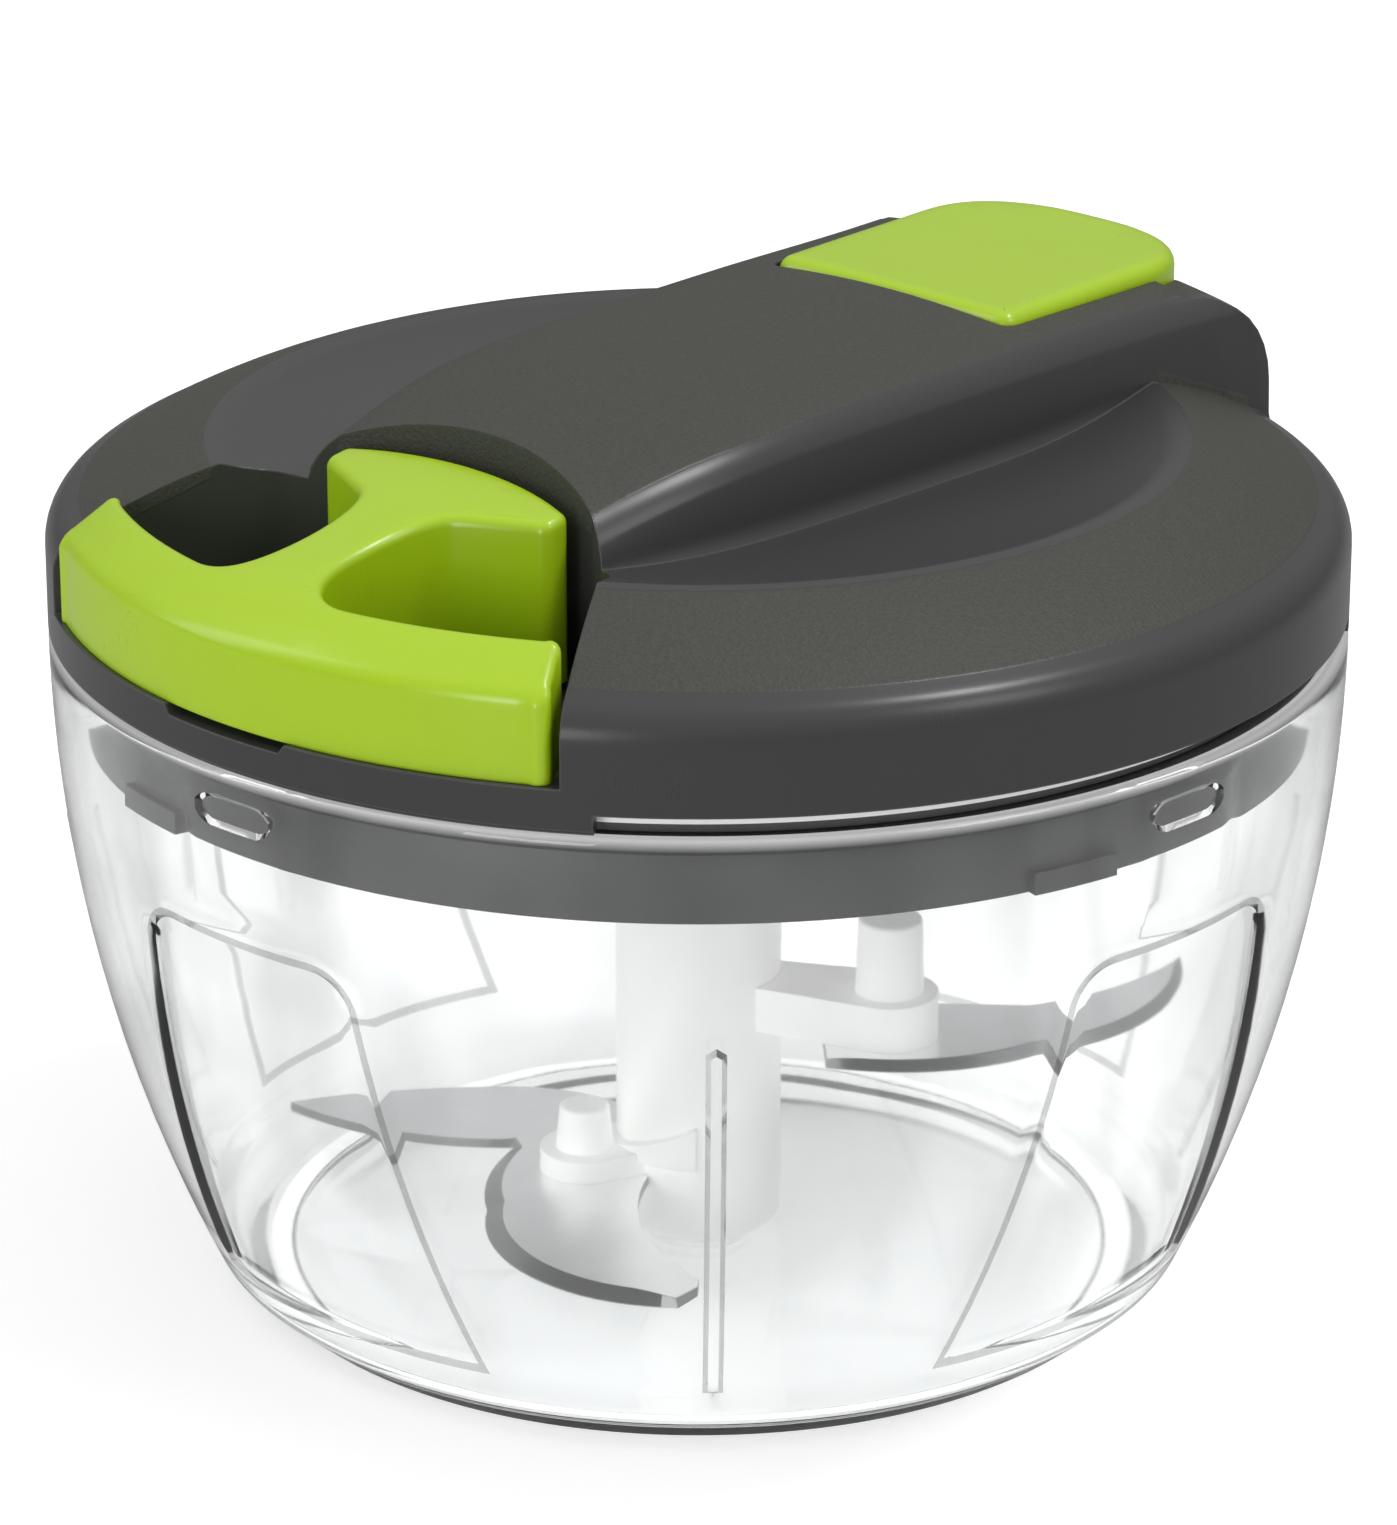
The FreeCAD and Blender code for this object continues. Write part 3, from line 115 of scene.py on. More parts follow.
# Materials of the inner CAD nodes that stay
CARRIED = {
    "hub_white": ("blade_cap_lower", "blade_cap_upper", "string_drum", "lock_bolt"),
    "skirt_grey": ("lock_carrier",),
    "turned_steel": ("bowl_spindle", "drum_axle", "drum_washer", "recoil_spring",
                     "string_eyelet", "lid_screws"),
}

WHITE = (1, 1, 1, 1)
MICRO = 0.00002  # depth of a surface's faint skin
SOCKET_KINDS = {"Color": "NodeSocketColor", "Normal": "NodeSocketVector"}

# Lamps: place, size, energy
LAMPS = {
    "top_lamp": ((-0.1, -0.05, 1.0), (0.9, 0.9), 0.25),
    "rim_lamp": ((0.25, 0.3, 0.95), (0.15, 0.15), 2.6),
    "right_lamp": ((0.7, 0.15, 0.75), (0.3, 0.3), 1.3),
    "left_lamp": ((-0.7, -0.6, 0.6), (0.3, 0.9), 1.8),
    "front_lamp": ((0.28, -1.0, 0.28), (0.4, 0.4), 2.7),
}
LAMP_AIM = Vector((0, 0, 0.05))
# The photograph's camera, with its focal length and width in pixels
CAMERA_AIM = Vector((0, 0, 0.05315))
CAMERA_AZIMUTH, CAMERA_ELEVATION, CAMERA_DISTANCE = 43.5, 20.8, 0.65
FOCAL_PIXELS, PHOTO_PIXELS, SENSOR_WIDTH = 6415, 1525, 36


def length(name, text, default):
    return bpy.props.FloatProperty(name=name, description=text, default=default, unit="LENGTH")


def turn(name, text, default):
    return bpy.props.FloatProperty(name=name, description=text, default=radians(default),
                                   subtype="ANGLE")


def tint(name, text, *default):
    return bpy.props.FloatVectorProperty(name=name, description=text, default=default,
                                         subtype="COLOR")


class ChopperSizes(bpy.types.PropertyGroup):
    lid_radius: length("Lid radius", "Radius of the lid and of the bowl's rim", 0.065)
    lid_low: length("Lid low edge", "Height of the lid's lower edge", 0.0707)
    lid_wall: length("Lid wall", "Wall of the lid's cover", 0.002)
    shoulder: length("Shoulder height", "Where the lid's side ends", 0.0788)
    shoulder_top: length("Rim height", "Outer edge of the grained ring", 0.0828)
    shoulder_in: length("Shoulder depth", "How far the shoulder goes in", 0.0027)
    dish_radius: length("Dish radius", "Edge of the round finger dish", 0.0482)
    dish_edge: length("Dish edge height", "Height of the dish's edge", 0.0889)
    dish_depth: length("Dish depth", "Depth of the finger dish", 0.0026)
    pocket_floor: length("Pocket floor", "Height of the handle pocket's floor", 0.0738)
    bowl_height: length("Bowl height", "Height of the bowl's rim", 0.0702)
    bowl_wall: length("Bowl wall", "Wall of the clear bowl", 0.00195)
    heel_radius: length("Heel radius", "Bowl's radius above its base", 0.0503)
    panel_depth: length("Panel depth", "Depth of the arch panels", 0.00028)
    skirt_radius: length("Skirt radius", "Ring of the lid inside the bowl", 0.06155)
    lug_turn: turn("Lug turn", "Where the lugs stand beside the catches", -12.5)
    handle_radius: length("Handle radius", "Front face of the pull handle", 0.0644)
    handle_low: length("Handle underside", "Height of the handle's underside", 0.07475)
    button_half: length("Button half width", "Half of the button's width", 0.016)
    button_top: length("Button top", "Height of the button's crown on the axis", 0.0980)
    hub_radius: length("Hub radius", "Radius of the blade hub", 0.0085)
    blade_thickness: length("Blade thickness", "Thickness of the blades", 0.001)
    blade_turn: turn("Blade turn", "How far the hub is turned at rest", 43.5)
    string_radius: length("String radius", "Half of the string's thickness", 0.0008)


class ChopperColours(bpy.types.PropertyGroup):
    cover: tint("Cover", "Satin grey of the lid", 0.046, 0.046, 0.046)
    grained: tint("Grained areas", "Grey of the ring and the grip's top", 0.053, 0.054, 0.046)
    green: tint("Handle", "Green of the handle and the button", 0.37, 0.57, 0.006)
    white: tint("Hub", "White of the blade hub", 0.86, 0.86, 0.85)
    skirt: tint("Skirt", "Grey of the lid's ring inside the bowl", 0.072, 0.072, 0.072)
    clear: tint("Bowl", "Tint of the clear bowl", 0.97, 0.98, 0.98)
    steel: tint("Steel", "Colour of the blades", 0.85, 0.85, 0.86)
    string: tint("String", "Colour of the braided string", 0.72, 0.71, 0.66)
    floor: tint("Floor", "Colour of the floor", 0.9, 0.9, 0.9)


def own_keys(group):
    return [key for key in group.bl_rna.properties.keys() if key not in ("rna_type", "name")]


def mm_sizes():
    """The panel's lengths in millimetres and its angles in degrees."""
    group = bpy.context.scene.chopper_sizes
    return SimpleNamespace(**{
        key: degrees(getattr(group, key)) if key.endswith("_turn") else getattr(group, key) / MM
        for key in own_keys(group)})


# Points and outlines

def clamp(value):
    return min(max(value, 0), 1)


def around(items, i):
    """The item before item i, that item and the two after it, held at the ends."""
    return [items[max(0, min(len(items) - 1, i + k))] for k in (-1, 0, 1, 2)]


def polar(r, angle, z=0.0):
    """Point at radius r, angle degrees anticlockwise from -Y."""
    a = radians(angle)
    return Vector((r * sin(a), -r * cos(a), z))


def spot(r, angle):
    return tuple(polar(r, angle).xy)


def flipped(points):
    """The points mirrored to the other side of the middle plane, in reverse order."""
    return [(-x, y) for x, y in reversed(points)]


def arc_points(a, via, b, steps):
    """Points of the arc from a through via to b, without a itself."""
    (ax, ay), (bx, by), (cx, cy) = a, via, b
    d = 2 * (ax * (by - cy) + bx * (cy - ay) + cx * (ay - by))
    a2, b2, c2 = ax * ax + ay * ay, bx * bx + by * by, cx * cx + cy * cy
    ux = (a2 * (by - cy) + b2 * (cy - ay) + c2 * (ay - by)) / d
    uy = (a2 * (cx - bx) + b2 * (ax - cx) + c2 * (bx - ax)) / d
    r = hypot(ax - ux, ay - uy)
    start, middle, end = (atan2(y - uy, x - ux) for x, y in (a, via, b))
    sweep = (end - start) % tau
    if (middle - start) % tau > sweep:
        sweep -= tau
    angles = [start + sweep * k / steps for k in range(1, steps + 1)]
    return [(ux + r * cos(angle), uy + r * sin(angle)) for angle in angles]


def line(items, steps=8):
    """Points of a drawn line of points, and of arcs given as a point passed and a point reached."""
    found = [items[0]]
    for item in items[1:]:
        if isinstance(item[0], tuple):
            found += arc_points(found[-1], item[0], item[1], steps)
        else:
            found.append(item)
    if hypot(found[0][0] - found[-1][0], found[0][1] - found[-1][1]) < 1e-4:
        found.pop()
    return found


def bend(a, corner, b, steps=10):
    """Points of a soft bend from a round a corner to b."""
    p, c, q = Vector(a), Vector(corner), Vector(b)
    return [tuple(p * (1 - t) ** 2 + c * 2 * t * (1 - t) + q * t * t)
            for t in (k / steps for k in range(steps + 1))]


def eased(points, radius, steps=4, closed=True):
    """The same outline with its corners rounded off, apart from nearly straight ones."""
    found = []
    count = len(points)
    for i, corner in enumerate(points):
        c = Vector(corner)
        before, after = Vector(points[i - 1]) - c, Vector(points[(i + 1) % count]) - c
        end = not closed and i in (0, count - 1)
        if end or before.angle(-after) < radians(12):
            found.append(corner)
            continue
        reach = min(radius, before.length * 0.45, after.length * 0.45)
        p, q = c + before.normalized() * reach, c + after.normalized() * reach
        found += bend(p, c, q, steps)
    return found


# Modelling

def activate(obj):
    bpy.ops.object.select_all(action="DESELECT")
    obj.select_set(True)
    bpy.context.view_layer.objects.active = obj


def added(add, **settings):
    """The object that an operator adds while nothing else is selected."""
    bpy.ops.object.select_all(action="DESELECT")
    add(**settings)
    return bpy.context.active_object


def edit(obj, kind="VERT"):
    activate(obj)
    bpy.ops.object.mode_set(mode="EDIT")
    bpy.ops.mesh.select_mode(type=kind)
    bpy.ops.mesh.select_all(action="DESELECT")
    return bmesh.from_edit_mesh(obj.data)


def done(obj):
    bpy.ops.object.mode_set(mode="OBJECT")
    return obj


def pick(obj, kind, test):
    """Selects the vertices, edges or faces of the edited mesh for which the test holds."""
    bpy.ops.mesh.select_mode(type=kind)
    bpy.ops.mesh.select_all(action="DESELECT")
    mesh = bmesh.from_edit_mesh(obj.data)
    for item in {"VERT": mesh.verts, "EDGE": mesh.edges, "FACE": mesh.faces}[kind]:
        if test(item):
            item.select = True
    mesh.select_flush_mode()
    bmesh.update_edit_mesh(obj.data)


def extrude(x, y, z):
    bpy.ops.mesh.extrude_region_move(TRANSFORM_OT_translate={"value": (x, y, z)})


def draw(name, points, closed=False, fill=False):
    """A new piece drawn as a chain of edges, one vertex extruded on and on, left in edit mode."""
    obj = added(bpy.ops.mesh.primitive_plane_add, size=MM)
    obj.name = obj.data.name = name
    bpy.ops.object.mode_set(mode="EDIT")
    bpy.ops.mesh.select_mode(type="VERT")
    bpy.ops.mesh.select_all(action="SELECT")
    bpy.ops.mesh.merge(type="CENTER")
    points = [Vector(point) * MM for point in points]
    bpy.ops.transform.translate(value=points[0])
    for here, there in zip(points, points[1:]):
        extrude(*(there - here))
    if closed:
        ends = (points[0], points[-1])
        pick(obj, "VERT", lambda v: min((v.co - p).length for p in ends) < 1e-7)
        bpy.ops.mesh.edge_face_add()
    bpy.ops.mesh.select_all(action="SELECT")
    if fill:
        bpy.ops.mesh.edge_face_add()
        bpy.ops.mesh.select_all(action="SELECT")
    return obj


def tidy_faces():
    bpy.ops.mesh.select_all(action="SELECT")
    bpy.ops.mesh.remove_doubles(threshold=MERGE_DISTANCE)
    bpy.ops.mesh.normals_make_consistent(inside=False)


def spun(name, profile, closed=False, steps=ROUND_STEPS, sweep=360, fill=False):
    """Solid of revolution about Z from (r, z) points, or a filled outline swept part of the way."""
    obj = draw(name, [(r, 0, z) for r, z in profile], closed, fill)
    bpy.ops.mesh.spin(steps=steps, angle=radians(sweep), center=(0, 0, 0), axis=(0, 0, 1))
    tidy_faces()
    return done(obj)


def ring_block(name, r0, r1, half_angle, centre_angle, z0, z1, steps=12):
    """Block of a ring, centred on an angle from -Y."""
    corners = [(r0, z0), (r1, z0), (r1, z1), (r0, z1)]
    obj = spun(name, corners, True, steps, 2 * half_angle, True)
    middle = sum((v.co for v in obj.data.vertices), Vector())
    return turned(obj, centre_angle - 90 - degrees(atan2(middle.y, middle.x)))


def block(name, points, x, y, z):
    """Solid between a flat outline and the same outline moved by x, y and z."""
    obj = draw(name, points, True, True)
    extrude(x * MM, y * MM, z * MM)
    tidy_faces()
    return done(obj)


def prism(name, plan, z0, z1):
    """Upright prism over an (x, y) outline."""
    return block(name, [(x, y, z0) for x, y in plan], 0, 0, z1 - z0)


def facing(name, side, y0, y1):
    """Prism along Y over an (x, z) outline."""
    return block(name, [(x, y0, z) for x, z in side], 0, y1 - y0, 0)


def rod(name, r, z0, z1, x=0.0, y=0.0, vertices=48, top_r=None):
    """Upright round rod or cone, to join or to cut with."""
    obj = added(bpy.ops.mesh.primitive_cone_add, vertices=vertices, radius1=r * MM,
                radius2=(r if top_r is None else top_r) * MM, depth=(z1 - z0) * MM,
                location=(x * MM, y * MM, (z0 + z1) / 2 * MM))
    obj.name = name
    bpy.ops.object.transform_apply()
    return obj


def strand(name, points, radius):
    """A round string or wire along points, made from a drawn line."""
    activate(done(draw(name, points)))
    bpy.ops.object.convert(target="CURVE")
    curve = bpy.context.active_object.data
    curve.bevel_depth = radius * MM
    curve.bevel_resolution = 4
    curve.use_fill_caps = True
    bpy.ops.object.convert(target="MESH")
    return bpy.context.active_object


def turned(obj, angle):
    """The piece turned about the upright axis by degrees, its place kept in its mesh."""
    activate(obj)
    obj.rotation_euler = (0, 0, radians(angle))
    bpy.ops.object.transform_apply()
    return obj


def combine(obj, other, operation):
    activate(obj)
    bpy.ops.object.modifier_add(type="BOOLEAN")
    modifier = obj.modifiers[-1]
    modifier.operation = operation
    modifier.solver = "EXACT"
    modifier.object = other
    bpy.ops.object.modifier_apply(modifier=modifier.name)
    if len(obj.data.polygons) == 0:
        raise RuntimeError(obj.name + " is empty after it was combined")
    bpy.data.objects.remove(other)
    return obj


def cut(obj, *others):
    for other in others:
        combine(obj, other, "DIFFERENCE")
    return obj


def fused(obj, *others):
    for other in others:
        combine(obj, other, "UNION")
    return obj


def finish_piece(obj, name, body, material, slot, *nodes, angle=30.0):
    """Shading, finish, the body that the piece rides on and the CAD nodes that it stands for."""
    obj.name = obj.data.name = name
    activate(obj)
    bpy.ops.object.shade_smooth_by_angle(angle=radians(angle))
    if not obj.data.materials:
        obj.data.materials.append(bpy.data.materials[material])
    if nodes:
        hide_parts(*nodes)
    if body:
        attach(obj, body)
    return obj


# Node groups and materials

def fill(made, values):
    """Sets a node's inputs by name or number, or links those whose value is a node's output."""
    for key, value in dict(values).items():
        socket = made.inputs[key.replace("_", " ") if isinstance(key, str) else key]
        if isinstance(value, bpy.types.NodeSocket):
            made.id_data.links.new(value, socket)
        else:
            socket.default_value = value
    return made


def node(tree, kind, values=(), **settings):
    made = tree.nodes.new("ShaderNode" + kind)
    for key, value in settings.items():
        setattr(made, key, value)
    return fill(made, values).outputs


def maths(tree, operation, *values):
    return node(tree, "Math", dict(enumerate(values)), operation=operation)[0]


def scaled(tree, vector, gain):
    return node(tree, "VectorMath", {0: vector, "Scale": gain}, operation="SCALE")[0]


def ramp(tree, value, low, high, start=0.0, end=1.0):
    """Goes from start to end while the value goes from low to high, and stays there outside."""
    return node(tree, "MapRange", {"Value": value, "From Min": low, "From Max": high,
                                   "To Min": start, "To Max": end})["Result"]


def mix(tree, factor, a, b, data_type="RGBA", **settings):
    return node(tree, "Mix", {"Factor": factor, "A": a, "B": b}, data_type=data_type,
                **settings)["Result"]


def coords(tree):
    return node(tree, "TexCoord")["Object"]


def axes(tree, vector):
    return node(tree, "SeparateXYZ", {0: vector})


def mapped(tree, vector, **values):
    return node(tree, "Mapping", {"Vector": vector, **values})["Vector"]


def noise(tree, vector, **values):
    return node(tree, "TexNoise", {"Vector": vector, **values})["Fac"]


def bump(tree, height, strength, distance=MICRO, **normal):
    return node(tree, "Bump", {"Strength": strength, "Distance": distance, "Height": height,
                               **normal})["Normal"]


def node_group(name, inputs, outputs):
    """A new group tree, the outputs of its input node, and its output node."""
    tree = bpy.data.node_groups.new(name, "ShaderNodeTree")
    for label, value in inputs.items():
        kind = SOCKET_KINDS.get(label, "NodeSocketFloat")
        socket = tree.interface.new_socket(label, in_out="INPUT", socket_type=kind)
        socket.default_value = value
    for label in outputs:
        kind = SOCKET_KINDS.get(label, "NodeSocketFloat")
        tree.interface.new_socket(label, in_out="OUTPUT", socket_type=kind)
    return tree, tree.nodes.new("NodeGroupInput").outputs, tree.nodes.new("NodeGroupOutput")


def tone_group():
    """Slight drift of a colour over the surface, as moulded plastic has."""
    tree, given, out = node_group(
        "Tone drift", {"Color": (0.5, 0.5, 0.5, 1), "Amount": 0.06, "Scale": 60.0}, ["Color"])
    cloud = noise(tree, coords(tree), Scale=given["Scale"], Detail=4.0, Roughness=0.6)
    shift = maths(tree, "SUBTRACT", cloud, 0.5)
    gain = maths(tree, "MULTIPLY_ADD", shift, given["Amount"], 1.0)
    fill(out, {"Color": scaled(tree, given["Color"], gain)})


def grain_group():
    """Spark-eroded grain: a fine pebbled height and the spots in its hollows."""
    tree, given, out = node_group("Fine grain", {"Scale": 2200.0}, ["Height", "Spots"])
    place = {"Vector": coords(tree), "Scale": given["Scale"]}
    cells = node(tree, "TexVoronoi", place, feature="SMOOTH_F1")["Distance"]
    fine = noise(tree, place.pop("Vector"), Detail=2.0, Roughness=0.7, **place)
    fill(out, {"Height": maths(tree, "MULTIPLY_ADD", fine, 0.6, cells),
               "Spots": ramp(tree, fine, 0.35, 0.75)})


def marks_group():
    """Roughness with faint smudges and hairlines from use."""
    tree, given, out = node_group("Use marks", {"Roughness": 0.35, "Amount": 0.12},
                                  ["Roughness", "Height"])
    place = coords(tree)
    stretched = mapped(tree, place, Scale=(1.0, 14.0, 1.0), Rotation=(0.3, 0.2, 0.7))
    smudge = noise(tree, place, Scale=90.0, Detail=5.0, Distortion=0.6)
    hair = noise(tree, stretched, Scale=420.0, Detail=3.0, Roughness=0.75)
    shift = maths(tree, "SUBTRACT", maths(tree, "MULTIPLY_ADD", hair, 0.5, smudge), 0.75)
    rough = maths(tree, "MULTIPLY_ADD", shift, given["Amount"], given["Roughness"])
    fill(out, {"Roughness": rough, "Height": hair})


def edge_group():
    """Normal with softly rounded edges, and a mask of those edges."""
    tree, given, out = node_group("Soft edges", {"Radius": 0.0004}, ["Normal", "Edge"])
    soft = node(tree, "Bevel", {"Radius": given["Radius"]}, samples=4)["Normal"]
    flat = node(tree, "NewGeometry")["Normal"]
    likeness = node(tree, "VectorMath", {0: soft, 1: flat}, operation="DOT_PRODUCT")["Value"]
    fill(out, {"Normal": soft, "Edge": ramp(tree, likeness, 0.995, 0.85)})


def zone_group():
    """Mask of the grained ring round the lid and of the grip's flat top, in millimetres."""
    limits = {"Inner radius": 48.9, "Outer radius": 61.6, "Grip height": 89.6}
    tree, given, out = node_group("Grained zones", limits, ["Mask"])
    x, y, z = axes(tree, scaled(tree, coords(tree), 1 / MM))
    r = maths(tree, "SQRT", maths(tree, "ADD", maths(tree, "MULTIPLY", x, x),
                                  maths(tree, "MULTIPLY", y, y)))
    soft, ring_r, ring_z, ring_fall, ring_deep = 0.25, 48.2, 90.3, -0.433, 2.6
    grip_half, grip_flare, grip_most = 22.1, 0.1415, 20.2

    def above(value, limit):
        return ramp(tree, maths(tree, "SUBTRACT", value, limit), 0.0, soft)

    cone = maths(tree, "MULTIPLY_ADD", maths(tree, "SUBTRACT", r, ring_r), ring_fall, ring_z)
    ring = above(r, given["Inner radius"])
    for more in (above(given["Outer radius"], r), above(cone, z),
                 above(z, maths(tree, "SUBTRACT", cone, ring_deep))):
        ring = maths(tree, "MULTIPLY", ring, more)
    half = maths(tree, "MULTIPLY_ADD", y, grip_flare, grip_half)
    half = maths(tree, "MINIMUM", half, grip_most)
    top = maths(tree, "MULTIPLY", above(z, given["Grip height"]),
                above(half, maths(tree, "ABSOLUTE", x)))
    fill(out, {"Mask": maths(tree, "MINIMUM", maths(tree, "ADD", ring, top), 1.0)})


def painted_reflection_group():
    """Soft upright dark streaks in the colour: painted reflections of the room round a clear wall."""
    tree, given, out = node_group("Painted reflection streaks", {"Color": WHITE, "Depth": 0.2}, ["Color"])
    upright = mapped(tree, coords(tree), Scale=(1, 1, 0.45))
    streaks = ramp(tree, noise(tree, upright, Scale=32.0, Detail=1.5, Distortion=1.6), 0.46, 0.62)
    dark = maths(tree, "SUBTRACT", 1.0, maths(tree, "MULTIPLY", streaks, given["Depth"]))
    fill(out, {"Color": scaled(tree, given["Color"], dark)})


def new_material(name, **values):
    """The tree of a new material and its Principled shader with some values set."""
    material = bpy.data.materials.new(name)
    material.use_nodes = True
    tree = material.node_tree
    return tree, fill(tree.nodes["Principled BSDF"], values)


def place_group(tree, name, **values):
    return node(tree, "Group", values, node_tree=bpy.data.node_groups[name])


def colour4(value, gain=1.0):
    return (value[0] * gain, value[1] * gain, value[2] * gain, 1.0)


def fed(shader, key):
    """The output that feeds an input of the shader."""
    return shader.inputs[key].links[0].from_socket


def moulded(name, colour, roughness, drift=0.05, marks=0.1, edge_highlight_gain=1.25, radius=0.0003,
            skin=0.04, **values):
    """Moulded plastic: tone drift, edges lightened as a painted highlight, smudges and a faint
    moulded skin.
    """
    tree, shader = new_material(name, **values)
    tone = place_group(tree, "Tone drift", Color=colour4(colour), Amount=drift)["Color"]
    edges = place_group(tree, "Soft edges", Radius=radius)
    use = place_group(tree, "Use marks", Roughness=roughness, Amount=marks)
    # Painted highlight: the base colour is lightened along the rounded edges.
    painted_edge_highlight = (edge_highlight_gain, edge_highlight_gain, edge_highlight_gain, 1)
    fill(shader, {"Base Color": mix(tree, edges["Edge"], tone, painted_edge_highlight, blend_type="MULTIPLY"),
                  "Roughness": use["Roughness"],
                  "Normal": bump(tree, use["Height"], skin, Normal=edges["Normal"])})
    return tree, shader


def cover_material(colours):
    """Satin grey with two finely grained zones: the ring round the lid and the grip's top."""
    # The cover's edges get a strong painted highlight.
    tree, shader = moulded("cover_grey", colours.cover, 0.28, marks=0.03, edge_highlight_gain=2.6,
                           skin=0.01, Specular_IOR_Level=0.32)
    zone = place_group(tree, "Grained zones")["Mask"]
    grain = place_group(tree, "Fine grain", Scale=3000.0)
    grains = mix(tree, grain["Spots"], colour4(colours.grained, 0.85),
                 colour4(colours.grained, 1.15))
    height = maths(tree, "MULTIPLY", grain["Height"], zone)
    fill(shader, {"Base Color": mix(tree, zone, fed(shader, "Base Color"), grains),
                  "Roughness": mix(tree, zone, fed(shader, "Roughness"), 0.56, "FLOAT"),
                  "Normal": bump(tree, height, 0.55, 0.00012, Normal=fed(shader, "Normal"))})


def skirt_material(colours):
    """Satin grey of the lid's ring, with a pale painted highlight on the flange seen through the
    cover's edge notches, standing in for the bowl's lit rim.
    """
    tree, shader = moulded("skirt_grey", colours.skirt, 0.45, drift=0.06)
    z = axes(tree, coords(tree))["Z"]
    flange = maths(tree, "MULTIPLY", maths(tree, "GREATER_THAN", z, 0.0706),
                   maths(tree, "LESS_THAN", z, 0.0740))
    # Painted highlight: the flange band is pale.
    painted_rim_highlight = (0.9, 0.9, 0.9, 1)
    fill(shader, {"Base Color": mix(tree, flange, fed(shader, "Base Color"), painted_rim_highlight)})


def clear_material(name, colour):
    """Clear polished plastic that lets light through, with painted reflection streaks in its colour
    and a rim that glows, a painted highlight.
    """
    tree, shader = new_material(name, IOR=1.45, Transmission_Weight=1.0, Emission_Color=WHITE)
    z = axes(tree, coords(tree))["Z"]
    tone = place_group(tree, "Tone drift", Color=colour4(colour), Amount=0.015)["Color"]
    # Painted reflection: soft dark streaks in the colour, stronger higher up the wall.
    painted_reflection = place_group(tree, "Painted reflection streaks", Color=tone, Depth=ramp(tree, z, 0.008, 0.022, 0, 0.14))
    use = place_group(tree, "Use marks", Roughness=0.03, Amount=0.03)
    path = node(tree, "LightPath")
    shadow = maths(tree, "MULTIPLY", path["Is Shadow Ray"], 0.88)
    deep = maths(tree, "GREATER_THAN", path["Ray Depth"], 7.0)
    hidden = maths(tree, "MAXIMUM", shadow, deep)
    fill(shader, {"Base Color": painted_reflection["Color"], "Roughness": use["Roughness"],
                  # Painted highlight: the rim glows through its emission.
                  "Emission Strength": ramp(tree, z, 0.0690, 0.0699, 0, 0.4),
                  "Normal": bump(tree, use["Height"], 0.02),
                  "Alpha": maths(tree, "SUBTRACT", 1.0, hidden)})


def steel_material(name, colour, roughness, angle=0.0, edge=1.0):
    """Ground steel: fine lines along the piece, a little colour drift, darker sloping edges that are
    a painted dark reflection, and a faint glow through its emission, painted light.
    """
    # Painted light: the steel glows faintly through its emission.
    tree, shader = new_material(name, Metallic=1.0, Emission_Color=WHITE, Emission_Strength=0.08)
    tone = place_group(tree, "Tone drift", Color=colour4(colour), Amount=0.12, Scale=140.0)
    level = maths(tree, "ABSOLUTE", axes(tree, node(tree, "NewGeometry")["Normal"])["Z"])
    # Painted reflection: faces that are not level are darkened towards the factor edge.
    slope_shaded_tone = scaled(tree, tone["Color"], ramp(tree, level, 0.93, 0.99, edge))
    lines = mapped(tree, coords(tree), Rotation=(0, 0, angle), Scale=(1, 30, 30))
    fine = noise(tree, lines, Scale=260.0, Detail=4.0, Roughness=0.65)
    edges = place_group(tree, "Soft edges", Radius=0.00015)
    fill(shader, {"Base Color": slope_shaded_tone,
                  "Roughness": maths(tree, "MULTIPLY_ADD", fine, 0.22, roughness - 0.1),
                  "Normal": bump(tree, fine, 0.15, Normal=edges["Normal"])})


def string_material(colours):
    """Braided string: crossing strands in bump and in tone, darker in the grooves between them as
    painted shade.
    """
    tree, shader = new_material("braided_string", Roughness=0.8, Sheen_Weight=0.3)
    place, waves = coords(tree), []
    for lean in (0.7, -0.7):
        strands = mapped(tree, place, Rotation=(lean, 0.35, lean))
        waves.append(node(tree, "TexWave", {"Vector": strands, "Scale": 620.0, "Distortion": 0.6,
                                            "Detail": 1.0})["Fac"])
    both = maths(tree, "MAXIMUM", *waves)
    # Painted shade: the grooves between the strands are darker.
    tone = mix(tree, both, colour4(colours.string, 0.6), colour4(colours.string))
    fill(shader, {"Base Color": tone, "Normal": bump(tree, both, 0.6, 0.0002)})


